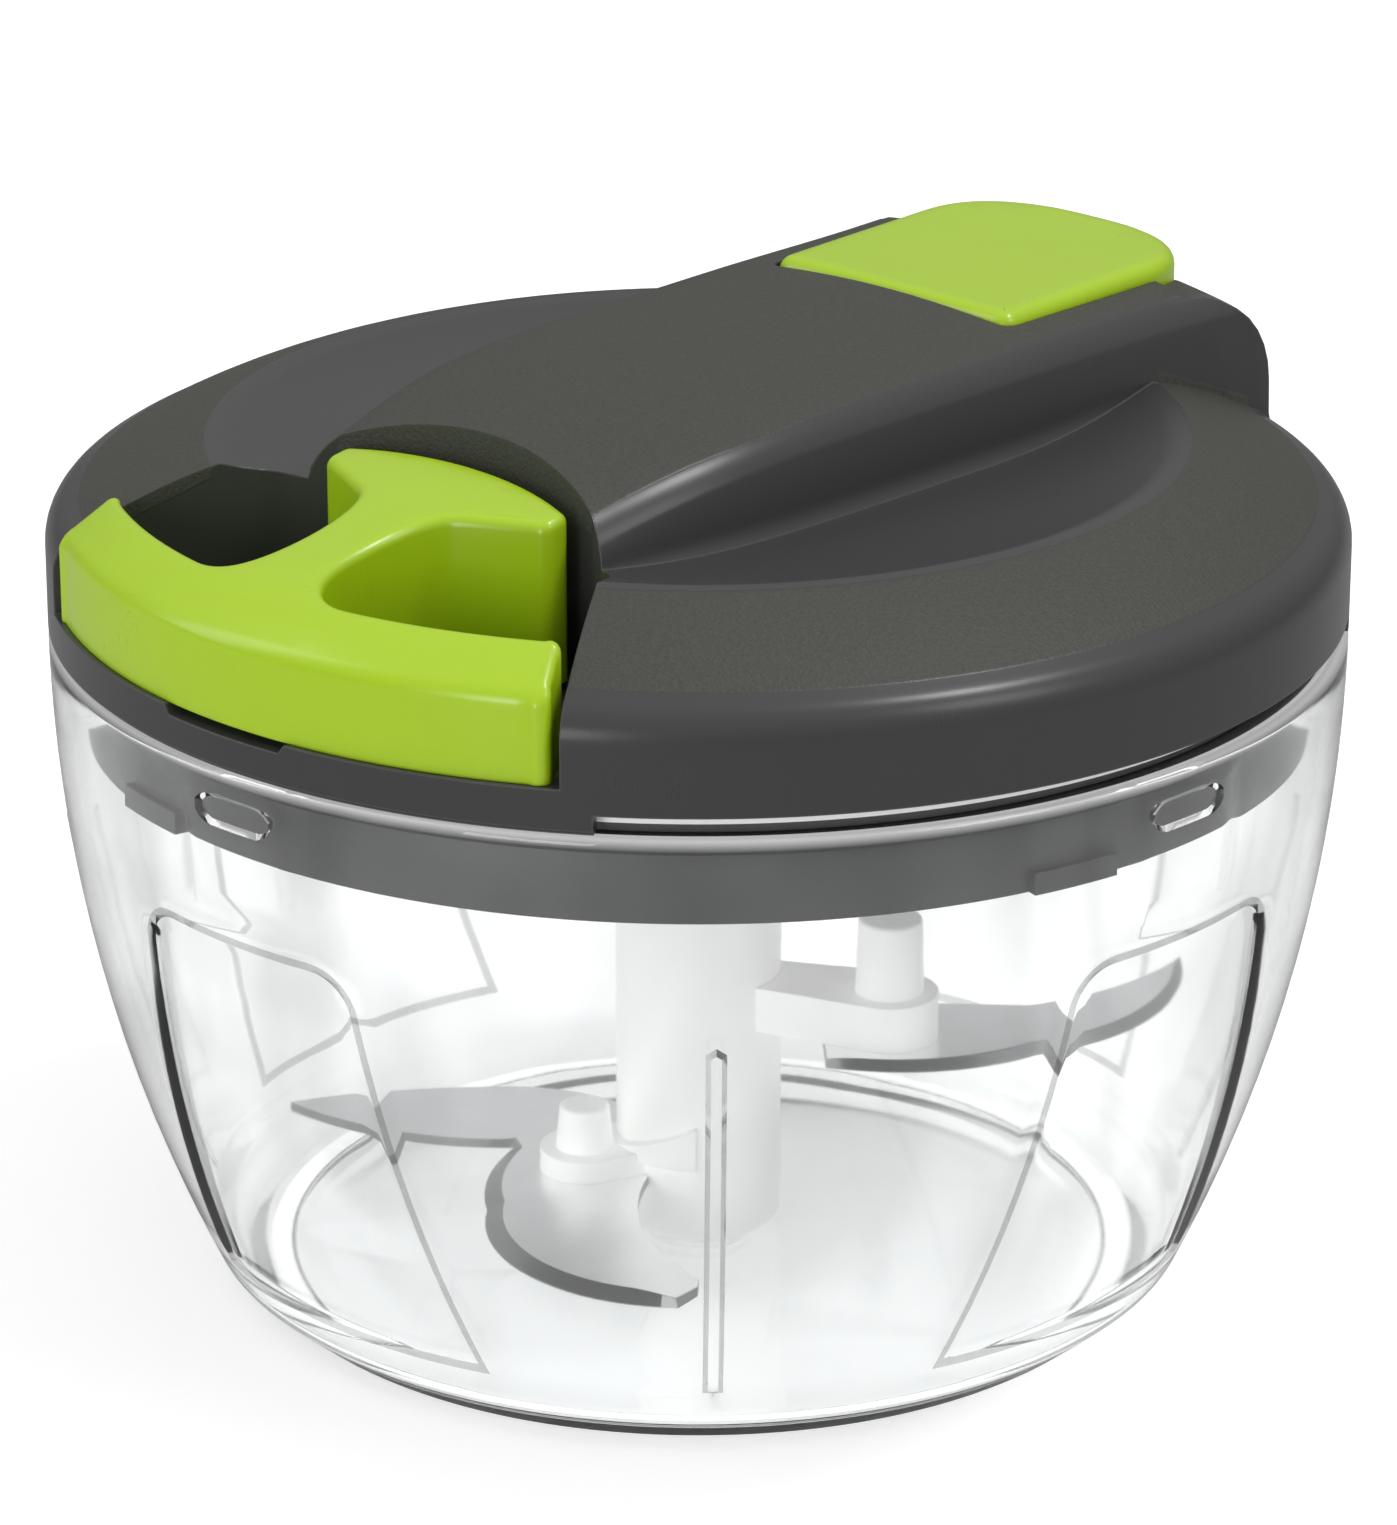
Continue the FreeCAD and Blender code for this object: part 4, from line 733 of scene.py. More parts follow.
class CHOPPER_OT_materials(bpy.types.Operator):
    """Make the finishes: node groups first, then one material per finish"""
    bl_idname = "chopper.materials"
    bl_label = "Finishes"

    def execute(self, context):
        colours = context.scene.chopper_colours
        for make in (tone_group, grain_group, marks_group, edge_group, zone_group, painted_reflection_group):
            make()
        cover_material(colours)
        clear_material("clear_bowl", colours.clear)
        # A darker copy for the faces of the steps round the panels, ribs and catches: painted shade.
        clear_material("clear_edge", [value * 0.42 for value in colours.clear])
        # The handle's edges get a painted highlight.
        moulded("handle_green", colours.green, 0.28, drift=0.04, marks=0.03, edge_highlight_gain=1.3,
                radius=0.0004, Coat_Weight=0.2, Coat_Roughness=0.12)
        # The hub glows faintly through its emission, painted light; its edges get a slight painted
        # highlight.
        moulded("hub_white", colours.white, 0.38, drift=0.04, edge_highlight_gain=1.05,
                Emission_Color=WHITE, Emission_Strength=0.24)
        skirt_material(colours)
        moulded("seal_black", (0.03, 0.03, 0.03), 0.7, drift=0.2)
        steel_material("blade_steel", colours.steel, 0.3, 0.8, 0.3)
        steel_material("turned_steel", colours.steel, 0.35)
        string_material(colours)
        return {"FINISHED"}


# Lid cover

def cover_profile(s, t, low):
    """Closed (r, z) outline of the lid's round body with its finger dish, t inside its surface."""
    side, rim_r, flat_r = s.lid_radius, s.lid_radius - s.shoulder_in, 30.0
    floor = s.dish_edge - s.dish_depth - t
    slope = ((rim_r + s.dish_radius) / 2 - t / 2, (s.shoulder_top + s.dish_edge) / 2 + 0.55 - t)
    turning = (side - s.shoulder_in * 0.25 - t,
               s.shoulder + (s.shoulder_top - s.shoulder) * 0.6 - t / 2)
    return line([(0, floor), (8, floor), (16, floor), (23, floor), (flat_r, floor),
                 (((flat_r + s.dish_radius) / 2, floor + s.dish_depth * 0.28),
                  (s.dish_radius, s.dish_edge - t)),
                 (slope, (rim_r - t * 0.8, s.shoulder_top - t)),
                 (turning, (side - t, s.shoulder - t / 2)), (side - t, (s.shoulder + low) / 2),
                 (side - t, low), (side * 0.5, low), (0, low)])


def grip_ring(station, t):
    """Points round the grip's cross-section: crowned top, round shoulders and flared flanks."""
    y, r = station[0], GRIP_ROUND
    top, foot, crown_z, ridge_z, foot_z = (value - t for value in station[1:])
    flank = top + r * 0.45
    fall = crown_z - ridge_z - 0.3
    half = line([(0, crown_z), ((top * 0.5, crown_z - fall * (top * 0.5 / (top - r)) ** 2),
                                (top - r, ridge_z + 0.3)),
                 ((top - r * 0.1, ridge_z - r * 0.5), (flank, ridge_z - r * 1.2)),
                 (flank + 0.5, foot_z + 2.6), ((flank + 1.4, foot_z + 0.7), (foot, foot_z)),
                 (foot, foot_z - 8)], 7)
    return [Vector((x, y, z)) for x, z in half + flipped(half[1:])]


def smooth_stations(stations, count):
    """More stations between the given ones, on a smooth curve through them."""
    found = []
    for i in range(len(stations) - 1):
        a, b, c, d = (Vector(station) for station in around(stations, i))
        for k in range(count):
            t = k / count
            found.append(0.5 * (2 * b + (c - a) * t + (2 * a - 5 * b + 4 * c - d) * t * t
                                + (3 * b - a - 3 * c + d) * t ** 3))
    return found + [Vector(stations[-1])]


def grip_bar(name, t, count=7):
    """The grip: one ring extruded along Y, reshaped at each station, and its far end rounded."""
    rings = [grip_ring(station, t) for station in smooth_stations(GRIP, count)]
    obj = draw(name, rings[0], True)
    rings = [[point * MM for point in ring] for ring in rings]
    mesh = bmesh.from_edit_mesh(obj.data)
    layer = mesh.verts.layers.int.new("spot")
    for v in mesh.verts:
        v[layer] = min(range(len(rings[0])), key=lambda i: (rings[0][i] - v.co).length)
    bpy.ops.mesh.edge_face_add()
    for before, ring in zip(rings, rings[1:]):
        extrude(0, ring[0].y - before[0].y, 0)
        mesh = bmesh.from_edit_mesh(obj.data)
        layer = mesh.verts.layers.int["spot"]
        for v in mesh.verts:
            if v.select:
                v.co = ring[v[layer]]
        bmesh.update_edit_mesh(obj.data)
    tidy_faces()
    done(obj)
    end, turn_z, rnd, over = GRIP_END_R - t, GRIP[3][4] - t, GRIP_END_ROUND, 102
    keep = spun("keep", line([(0, UNDER), (end, UNDER), (end, turn_z - rnd),
                              ((end - rnd * 0.29, turn_z - rnd * 0.29), (end - rnd, turn_z)),
                              (end - 2 * rnd, over), (0, over)]))
    return combine(obj, keep, "INTERSECT")


def pocket_block(name, s, t):
    """The handle's pocket, open in front and above, or the space its walls t thick take up."""
    half_angle, corner_r, open_r, back, ease = 32.3, 42.0, 130, -29.0 + t, 3.0
    side = radians(half_angle)
    (cx, cy), (fx, fy) = ((x + t * cos(side), y + t * sin(side)) for x, y in (
        spot(corner_r, half_angle), spot(open_r, half_angle)))
    ax, ay = cx - ease * 0.85, cy + ease * 0.42
    bx, by = cx + ease * sin(side), cy - ease * cos(side)
    mx, my = (ax + bx) / 2 + 0.55, (ay + by) / 2 + 0.45
    plan = line([(-fx, fy), (fx, fy), (bx, by), ((mx, my), (ax, ay)), ((0, back), (-ax, ay)),
                 ((-mx, my), (-bx, by))], 16)
    return prism(name, plan, s.pocket_floor - t, ABOVE)


def pocket_cutter(s):
    """The pocket less the low lip along its front, which has a finger notch in its middle."""
    floor, lip_z, half, near, far = s.pocket_floor, s.pocket_floor + 0.9, 7.5, 62.6, 73
    low = lip_z - 1.5
    lip = spun("lip", [(near, floor - 1), (far, floor - 1), (far, lip_z), (near, lip_z)], True)
    right = line([(0, low), (half - 2.2, low), ((half - 1, low + 0.1), (half, low + 0.6)),
                  (half + 1.5, lip_z + 1)], 4)
    notch = facing("notch", right + flipped(right[1:]), 0, -120)
    return cut(pocket_block("pocket", s, 0.0), cut(lip, notch))


def button_plan(s, grow=0.0):
    """Near edge with soft corners, parallel sides and a round far end."""
    half, near, end, soft = s.button_half + grow, BUTTON_NEAR - grow, 61.4 + grow, 2.0
    side_y, corner_y, in_x = 50.5, 59.5 + grow, 5.0
    right = bend((half - soft, near), (half, near), (half, near + soft), 6)
    right += bend((half, side_y), (half, corner_y), (in_x, sqrt(end ** 2 - in_x ** 2)), 14)
    left = flipped(right)
    return right + arc_points(right[-1], (0, end), left[0], 8)[:-1] + left


class CHOPPER_OT_cover(bpy.types.Operator):
    """Model the cover: dished dome, grip, handle pocket, button opening, posts and edge notches"""
    bl_idname = "chopper.cover"
    bl_label = "Lid cover"

    def execute(self, context):
        s = mm_sizes()
        low, wall, radius = s.lid_low, s.lid_wall, s.lid_radius
        body = fused(spun("body", cover_profile(s, 0.0, low)), grip_bar("grip", 0.0))
        cut(body, pocket_cutter(s))
        inner = fused(spun("hollow", cover_profile(s, wall, UNDER), steps=120),
                      grip_bar("grip_hollow", wall, 3))
        cut(body, cut(inner, pocket_block("pocket_wall", s, 1.8)))
        rest_in, rest_out = radius - wall - 0.3, radius - 0.5
        rest_low, rest_top = s.bowl_height + 0.05, low + 0.8
        fused(body, spun("rest", [(rest_in, rest_low), (rest_out, rest_low), (rest_out, rest_top),
                                  (rest_in, rest_top)], True))
        bore, post, flange = 2.5, 5.0, 7.5
        arbor = [(bore, 72.7), (post, 72.7), (post, 85.5), (flange, 85.5), (flange, 95.6),
                 (0, 95.6), (0, 90), (bore, 90)]
        fused(body, spun("arbor", arbor, True, 64))
        for angle in SCREW_ANGLES:
            x, y = spot(SCREW_RADIUS, angle)
            fused(body, cut(rod("post", 3.4, 64.6, 87.2, x, y, 32),
                            rod("screw", 1.4, 60, 72.6, x, y, 24)))
        cut(body, prism("opening", button_plan(s, 0.35), 87.6, ABOVE))
        for middle in (80.0, 260.0):
            cut(body, ring_block("edge_notch", radius - wall - 1, radius + 2, 45.0, middle,
                                 low - 1, low + 1.6, 60))
        hole = added(bpy.ops.mesh.primitive_cylinder_add, vertices=32, radius=0.0026, depth=0.012,
                     rotation=(pi / 2, 0, 0), location=(0, -0.028, STRING_LEVEL * MM))
        bpy.ops.object.transform_apply()
        cut(body, hole)
        finish_piece(body, "cover", "lid", "cover_grey", "grey_plastic", "lid_cover", angle=32)
        return {"FINISHED"}


# Handle and button

def interpolated(points, x):
    """Height on a smooth curve through (x, height) points that are sorted by falling x."""
    last = len(points) - 1
    i = next((k for k in range(last) if x >= points[k + 1][0]), last - 1)
    (x0, h0), (x1, h1), (x2, h2), (x3, h3) = around(points, i)
    span = x2 - x1
    t = clamp((x - x1) / span)
    m1, m2 = (h2 - h0) / (x2 - x0) * span, (h3 - h1) / (x3 - x1) * span
    return ((2 * t ** 3 - 3 * t ** 2 + 1) * h1 + (t ** 3 - 2 * t ** 2 + t) * m1
            + (3 * t ** 2 - 2 * t ** 3) * h2 + (t ** 3 - t ** 2) * m2)


def domed_block(name, plan, z0, rounding, height, step):
    """A block over a plan whose top edge is rounded and whose top follows height(x, y)."""
    flat_z, turns = 200.0, 5
    obj = draw(name, [(x, y, z0) for x, y in plan], True, True)
    extrude(0, 0, (flat_z - rounding - z0) * MM)
    for k in range(turns):
        a, b = pi / 2 * k / turns, pi / 2 * (k + 1) / turns
        bpy.ops.mesh.inset(thickness=rounding * (cos(a) - cos(b)) * MM, depth=0)
        bpy.ops.transform.translate(value=(0, 0, rounding * (sin(b) - sin(a)) * MM))
    for axis in (0, 1):
        low, high = min(p[axis] for p in plan), max(p[axis] for p in plan)
        count = int((high - low) / step)
        for k in range(1, count):
            pick(obj, "FACE", lambda f: f.calc_center_median().z > (flat_z - 0.001) * MM)
            co, no = [0, 0, 0], [0, 0, 0]
            co[axis], no[axis] = (low + (high - low) * k / count) * MM, 1
            bpy.ops.mesh.bisect(plane_co=co, plane_no=no, clear_inner=False, clear_outer=False)
    mesh = bmesh.from_edit_mesh(obj.data)
    for v in mesh.verts:
        if v.co.z > (z0 + 1) * MM:
            v.co.z += (height(v.co.x / MM, v.co.y / MM) - flat_z) * MM
    bmesh.update_edit_mesh(obj.data)
    bpy.ops.mesh.select_all(action="SELECT")
    bpy.ops.mesh.normals_make_consistent(inside=False)
    return done(obj)


def handle_plan(s):
    """Anchor outline: a curved bar in front, a waisted stem and a block with a curved back."""
    radius, half_angle, bar_in, stem, blend = s.handle_radius, 31.2, 58.6, 3.8, 6.5
    half, back_y, side_y, corner_y, front_y = 15.2, -31.0, -33.6, -36.6, -42.5
    tip, out_turn, in_turn = 1.6, 1.6, 1.5
    (end_x, end_y), (in_x, in_y) = spot(radius, half_angle), spot(bar_in, half_angle)
    join_angle = degrees(asin((stem + blend) / bar_in))
    join = spot(bar_in, join_angle)
    waist_y = (join[1] + front_y) / 2
    turn_y = join[1] - (join[0] - stem) * tan(radians(join_angle))
    right = line([spot(radius, half_angle - out_turn),
                  ((end_x - 0.22, end_y + 0.1), spot(radius - tip, half_angle)),
                  spot(bar_in + tip, half_angle),
                  ((in_x + 0.1, in_y - 0.28), spot(bar_in, half_angle - in_turn)),
                  (spot(bar_in, (half_angle + join_angle) / 2), join)], 10)
    right += bend(join, (stem, turn_y), (stem, waist_y), 14)[1:]
    right += bend((stem, waist_y), (stem, front_y + 0.9), (stem + 3.4, front_y + 2.4))[1:]
    right += line([(half - 1.2, corner_y - 0.5), ((half - 0.3, corner_y), (half, corner_y + 0.9)),
                   (half, side_y - 0.8),
                   ((half - 0.25, side_y - 0.25), (half - 1, side_y + 0.25))], 6)
    left = flipped(right)
    back = arc_points(right[-1], (0, back_y), left[0], 16)[:-1]
    front = arc_points(left[-1], (0, -radius), right[0], 40)[:-1]
    return right + back + left + front


class CHOPPER_OT_handle(bpy.types.Operator):
    """Model the pull handle with its knot's well, and the lock button with its wedge"""
    bl_idname = "chopper.handle"
    bl_label = "Handle and button"

    def execute(self, context):
        s = mm_sizes()
        low = s.handle_low
        handle = domed_block("handle", handle_plan(s), low, 1.0,
                             lambda x, y: interpolated(HANDLE_TOP, hypot(x, y)), 1.6)
        slot = [(-1, low - 1), (1, low - 1), (1, 81.3), (-1, 81.3)]
        cut(handle, rod("well", 3.0, low - 1, 83.3, 0, KNOT_Y, 40),
            facing("slot", slot, KNOT_Y, -29))
        finish_piece(handle, "handle", "handle", "handle_green", "green_plastic", "pull_handle")

        crown, tilt = s.button_top - 0.6, 0.022
        button = domed_block("button", button_plan(s), BUTTON_LOW, 1.6,
                             lambda x, y: crown + (y - BUTTON_NEAR) * tilt, 2.5)
        half, near, far = s.button_half + 1.2, 26.8, 50
        flange = [(-half, near), (half, near), (half, far), (-half, far)]
        fused(button, prism("flange", flange, BUTTON_LOW, BUTTON_LOW + 1.4))
        cut(button, prism("hollow", button_plan(s, -2.0), BUTTON_LOW - 1, 94.0))
        wedge_y, far_y, wedge_half = 45.224, 48.224, 4
        wedge = [(wedge_y, 85.0), (far_y, 85.0), (far_y, 95.0), (42.224, 95.0), (42.224, 88.0)]
        fused(button, block("wedge", [(-wedge_half, y, z) for y, z in wedge], 2 * wedge_half, 0, 0),
              rod("post", 2.0, 92.0, 95.0, 0, 52.0, 24))
        finish_piece(button, "button", "button", "handle_green", "green_plastic", "lock_button")
        return {"FINISHED"}


# Bowl

def wall_r(s, z, inset=0.0):
    """Radius of the bowl's outer wall at a height, or of the surface inset from it."""
    rise, lean = s.bowl_height - HEEL_Z, s.lid_radius - s.heel_radius
    arc_r = (rise ** 2 + lean ** 2) / (2 * lean)
    return s.lid_radius - arc_r + sqrt((arc_r - inset) ** 2 - (s.bowl_height - z) ** 2)


def panel_half(z):
    """Half width of an arch panel: it flares towards the base."""
    return PANEL_LOW + (PANEL_TOP - PANEL_LOW) * clamp((z - PANEL_FOOT_Z) / 40)


def warp_wall(s, angle, z):
    """Where a vertex of the wall goes, as quarter angle and height, to draw panels and ribs."""
    radius, a = wall_r(s, z), abs(angle)
    fade = 1 - clamp((z - 58) / 8)
    panel = PANEL_ANGLE + (degrees(asin(panel_half(z) / radius)) - PANEL_ANGLE) * fade
    rib = RIB_ANGLE + (QUARTER_END - degrees(asin(1.0 / radius)) - RIB_ANGLE) * fade
    if a <= PANEL_ANGLE:
        a = a * panel / PANEL_ANGLE
    elif a <= RIB_ANGLE:
        a = panel + (a - PANEL_ANGLE) * (rib - panel) / (RIB_ANGLE - PANEL_ANGLE)
    else:
        a = rib + (a - RIB_ANGLE) * (QUARTER_END - rib) / (QUARTER_END - RIB_ANGLE)
    corner, reach = ARCH_CORNER, 2.4
    x = radius * sin(radians(a))
    u, v = (x - (PANEL_TOP - corner)) / corner, (z - ARCH_Z) / corner
    if 0 < u < reach and 0 < v < reach:
        cu, cv = min(u, 1), min(v, 1)
        share = max(0, 1 - (max(u, v, 1) - 1) / (reach - 1))
        x += (cu * sqrt(1 - cv * cv / 2) - cu) * share * corner
        z += (cv * sqrt(1 - cu * cu / 2) - cv) * share * corner
        a = degrees(asin(x / wall_r(s, z)))
    return a if angle >= 0 else -a, z


def quarter_angle(co):
    """Angle from the middle of the nearest side of the bowl, -45 to 45, and that side's angle."""
    angle = degrees(atan2(co.x, -co.y))
    side = round(angle / 90) * 90
    return angle - side, side


def column(face):
    """A wall face's quarter angle without its sign, its height, and whether it looks outwards."""
    centre = face.calc_center_median()
    outwards = face.normal.dot(Vector((centre.x, centre.y, 0))) > 0
    return abs(quarter_angle(centre)[0]), centre.z / MM, outwards


def raise_faces(obj, test, inset, shift, edge_slot=0):
    """Insets the faces that pass the test as one region and moves it in or out from the axis. The
    ring that the inset leaves keeps the material in edge_slot; on the bowl slot 1 is the darker clear
    material, painted shade.
    """
    pick(obj, "FACE", test)
    obj.active_material_index = edge_slot
    bpy.ops.object.material_slot_assign()
    bpy.ops.mesh.inset(thickness=inset * MM, depth=0)
    obj.active_material_index = 0
    bpy.ops.object.material_slot_assign()
    mesh = bmesh.from_edit_mesh(obj.data)
    for v in mesh.verts:
        if v.select:
            r = hypot(v.co.x, v.co.y)
            v.co.x, v.co.y = v.co.x * (r + shift * MM) / r, v.co.y * (r + shift * MM) / r
    bmesh.update_edit_mesh(obj.data)


class CHOPPER_OT_bowl(bpy.types.Operator):
    """Model the clear bowl: wall, arch panels, ribs, inner catches with reliefs, and foot ring"""
    bl_idname = "chopper.bowl"
    bl_label = "Bowl"

    def execute(self, context):
        s = mm_sizes()
        wall, height, rim_out = s.bowl_wall, s.bowl_height, s.lid_radius
        rim_in = wall_r(s, height, wall)
        shoulder = height - (rim_out - rim_in) / 2
        foot_in, foot_out, foot_z, floor, boss, boss_z = 42.4, 45.4, 0.8, 2.6, 5.5, 3.4
        foot = eased([(0, foot_z), (foot_in, foot_z), (foot_in, 0), (foot_out, 0),
                      (s.heel_radius, HEEL_Z), (wall_r(s, 8), 8)], 0.6, 3, False)
        outer_z = [10, 12, 16, 20, 24, 28, 32, 36, 40, 44, 46, 48, 49, 50, 51, 52, 53, 54, 55.5,
                   57.5, 60, 62.5, 65, 67, shoulder]
        rim_top = (rim_out + rim_in) / 2, height
        rim = arc_points((rim_out, shoulder), rim_top, (rim_in, shoulder), 8)
        inner_z = [68.6, 67.9, 66.9, 65.9, 64.9, 63.8, 62.8, 60, 57, 54.7, 52, 48, 44, 40, 36, 32,
                   28, 24, 20, 16, 12, 9, 6.6]
        low_r = wall_r(s, inner_z[-1], wall)
        base = line([(low_r, inner_z[-1]), ((low_r - 1, floor + 1), (low_r - 4, floor))], 6)[1:]
        profile = foot + [(wall_r(s, z), z) for z in outer_z] + rim
        profile += [(wall_r(s, z, wall), z) for z in inner_z] + base
        profile += [(30, floor), (18, floor), (boss, floor), (boss, boss_z), (2.5, boss_z),
                    (2.5, 1.0), (0, 1.0)]
        bowl = spun("bowl_shell", profile)
        for name in ("clear_bowl", "clear_edge"):
            bowl.data.materials.append(bpy.data.materials[name])

        mesh = edit(bowl, "FACE")
        panels, ribs = set(), set()
        for face in mesh.faces:
            angle, z, out = column(face)
            if out and 8 < z < 53 and angle < PANEL_ANGLE:
                panels.add(face.index)
            if out and 8 < z < 49 and angle > RIB_ANGLE:
                ribs.add(face.index)
        for v in mesh.verts:
            r, z = hypot(v.co.x, v.co.y) / MM, v.co.z / MM
            angle, side = quarter_angle(v.co)
            if 7.9 < z < shoulder - 0.05 and abs(r - wall_r(s, z)) < 0.02:
                if 48.9 < z < 49.1 and 43 < abs(angle) < 44.9:
                    z = 48.3
                angle, z = warp_wall(s, angle, z)
                v.co = polar(wall_r(s, z), angle + side, z) * MM
            elif 63.7 < z < 67.0 and abs(r - wall_r(s, z, wall)) < 0.02:
                if 4.4 < abs(angle) < 4.6 and abs(z - CATCH_Z) > 1.0:
                    angle, z = angle * 0.88, CATCH_Z + (z - CATCH_Z) * 0.72
                    v.co = polar(wall_r(s, z, wall), angle + side, z) * MM
        bmesh.update_edit_mesh(bowl.data)
        # Slot 1 gives the steps round panels, ribs and catches the darker clear material, painted
        # shade.
        raise_faces(bowl, lambda f: f.index in panels, 1.0, -s.panel_depth, 1)
        raise_faces(bowl, lambda f: f.index in ribs, 0.5, 0.55, 1)

        def inside(face, half, z0, z1):
            angle, z, out = column(face)
            return not out and angle < half and z0 < z < z1 and abs(face.normal.z) < 0.6

        raise_faces(bowl, lambda f: inside(f, 6.0, 54.7, 67.9), 0.5, 0.06)
        raise_faces(bowl, lambda f: inside(f, 4.5, 63.8, 66.9), 0.45, -1.15, 1)
        tidy_faces()
        done(bowl)
        finish_piece(bowl, "bowl_clear", "bowl", "clear_bowl", "clear_plastic", "bowl", angle=40)
        return {"FINISHED"}


# Lid base and seal

class CHOPPER_OT_base(bpy.types.Operator):
    """Model the lid's base plate with its skirt, lugs and collar, and the seal in its groove"""
    bl_idname = "chopper.base"
    bl_label = "Lid base and seal"

    def execute(self, context):
        s = mm_sizes()
        skirt, thick, bore, collar, collar_z = s.skirt_radius, 2.0, 12.0, 14.0, 66.5
        inner, flange, groove = skirt - thick, s.lid_radius - s.lid_wall - 0.1, skirt - 1.0
        low, plate, flange_low, flange_top, seal_z, seal_h = 60.8, 62.6, 70.9, 72.5, 67.9, 1.6
        over, groove_low, groove_top = plate + thick, seal_z - 0.1, seal_z + seal_h + 0.1
        outline = [(bore, plate), (24, plate), (36, plate), (inner, plate), (inner, low),
                   (skirt, low), (skirt, groove_low), (groove, groove_low), (groove, groove_top),
                   (skirt, groove_top), (skirt, flange_low), (flange, flange_low),
                   (flange, flange_top), (inner, flange_top), (inner, over), (36, over),
                   (24, over), (collar, over), (collar, collar_z), (bore, collar_z)]
        base = spun("base", eased(outline, 0.3, 2), True)
        for quarter in QUARTERS:
            fused(base, ring_block("lug", skirt - 1, 62.4, 4.3, quarter + s.lug_turn,
                                   low, low + 2.2))
        for angle in SCREW_ANGLES:
            cut(base, rod("hole", 1.5, plate - 1, plate + 3, *spot(SCREW_RADIUS, angle), 24))
        cut(base, ring_block("relief", 42.0, 66.0, 36.3, 0, 71.9, 74, 40))
        finish_piece(base, "lid_skirt", "lid", "skirt_grey", "skirt_plastic", "lid_base")

        lip, root, seal_top = wall_r(s, seal_z, s.bowl_wall) - 0.06, skirt - 0.9, seal_z + seal_h
        seal = line([(root, seal_z), (lip - 0.6, seal_z),
                     ((lip, seal_z + seal_h / 2), (lip - 0.6, seal_top)), (root, seal_top)])
        finish_piece(spun("seal", seal, True), "seal_ring", "seal", "seal_black", "seal_rubber",
                     "lid_seal")
        return {"FINISHED"}


# Hub and blades

def ease_top(obj, z, **settings):
    """The piece with the edges of its top rounded."""
    edit(obj, "EDGE")
    pick(obj, "EDGE", lambda e: min(v.co.z for v in e.verts) > (z - 0.01) * MM)
    bpy.ops.mesh.bevel(offset=0.0004, segments=3, affect="EDGES", **settings)
    return done(obj)


def arm_block(s, arm):
    """Arm from the hub to a rounded end, with its post above and its stud below."""
    z, thick, reach, angle, tip_r, post_h, post_r, post_top_r = arm
    lean, top = asin((ARM_NECK - tip_r) / reach), z + thick
    root_x, root_y = ARM_NECK * cos(lean), -ARM_NECK * sin(lean)
    tip_x, tip_y = tip_r * cos(lean), -reach - tip_r * sin(lean)
    plan = line([(-root_x, 0), (root_x, 0), (root_x, root_y), (tip_x, tip_y),
                 ((0, -reach - tip_r), (-tip_x, tip_y)), (-root_x, root_y)], 24)
    bar = ease_top(prism("arm", plan, z, top), top, clamp_overlap=True)
    post = ease_top(rod("post", post_r, top - 0.5, top + post_h, 0, -reach, 48, post_top_r),
                    top + post_h)
    stud = rod("stud", 1.5, z - s.blade_thickness - 0.6, z + 0.5, 0, -reach, 32)
    return turned(fused(bar, post, stud), angle)


def hub_web(s):
    """Web round the hub from the lower arm's root, whose top climbs towards the hub's front."""
    r, half, low, top = s.hub_radius, 42.0, ARMS["lower"][0] + ARMS["lower"][1], 16.8
    web = ring_block("web", r - 0.8, r + 0.8, half, -half, low - 0.8, top, 24)
    for v in edit(web).verts:
        if v.co.z > low * MM:
            v.co.z = (low + (top - low) * clamp(1 + v.co.x / MM / r)) * MM
    bmesh.update_edit_mesh(web.data)
    return done(web)


def blade_plate(s, name, arm, tip_r, shares, first, last, grind):
    """Flat blade, its cutting edge ground from above, with room for the hub and the stud."""
    top, steps = arm[0], 20
    low = top - s.blade_thickness
    arcs = [isinstance(item[0], tuple) for item in shares]
    items = [tuple(tuple(v * tip_r for v in p) for p in item) if arc
             else tuple(v * tip_r for v in item) for item, arc in zip(shares, arcs)]
    plan = line(items, steps)
    start, end = (sum(steps if arc else 1 for arc in arcs[1:k + 1]) for k in (first, last))
    obj = prism("blade", plan, low, top)
    area = sum(a[0] * b[1] - b[0] * a[1] for a, b in zip(plan, plan[1:] + plan[:1]))
    moves = []
    for i in range(start, end + 1):
        along = (Vector(plan[(i + 1) % len(plan)]) - Vector(plan[i - 1])).normalized()
        inwards = Vector((-along.y, along.x)) * (1 if area > 0 else -1)
        width = grind * min(1, (i - start + 0.5) / 3, (end - i + 0.5) / 2)
        moves.append((Vector(plan[i]), inwards * width))
    for v in edit(obj).verts:
        place = Vector((v.co.x, v.co.y)) / MM
        move = next((move for at, move in moves if (place - at).length < 1e-3), None)
        if move and v.co.z > (low + 0.5) * MM:
            v.co.x, v.co.y = (place + move) * MM
    bmesh.update_edit_mesh(obj.data)
    done(obj)
    cut(obj, rod("hub_gap", s.hub_radius + 0.2, low - 1, top + 1, 0, 0, 96),
        rod("hole", 1.6, low - 1, top + 1, *spot(arm[2], arm[3]), 32))
    turned(obj, s.blade_turn)
    finish_piece(obj, name, "blades", "blade_steel", "steel", name.replace("_steel", ""), angle=20)


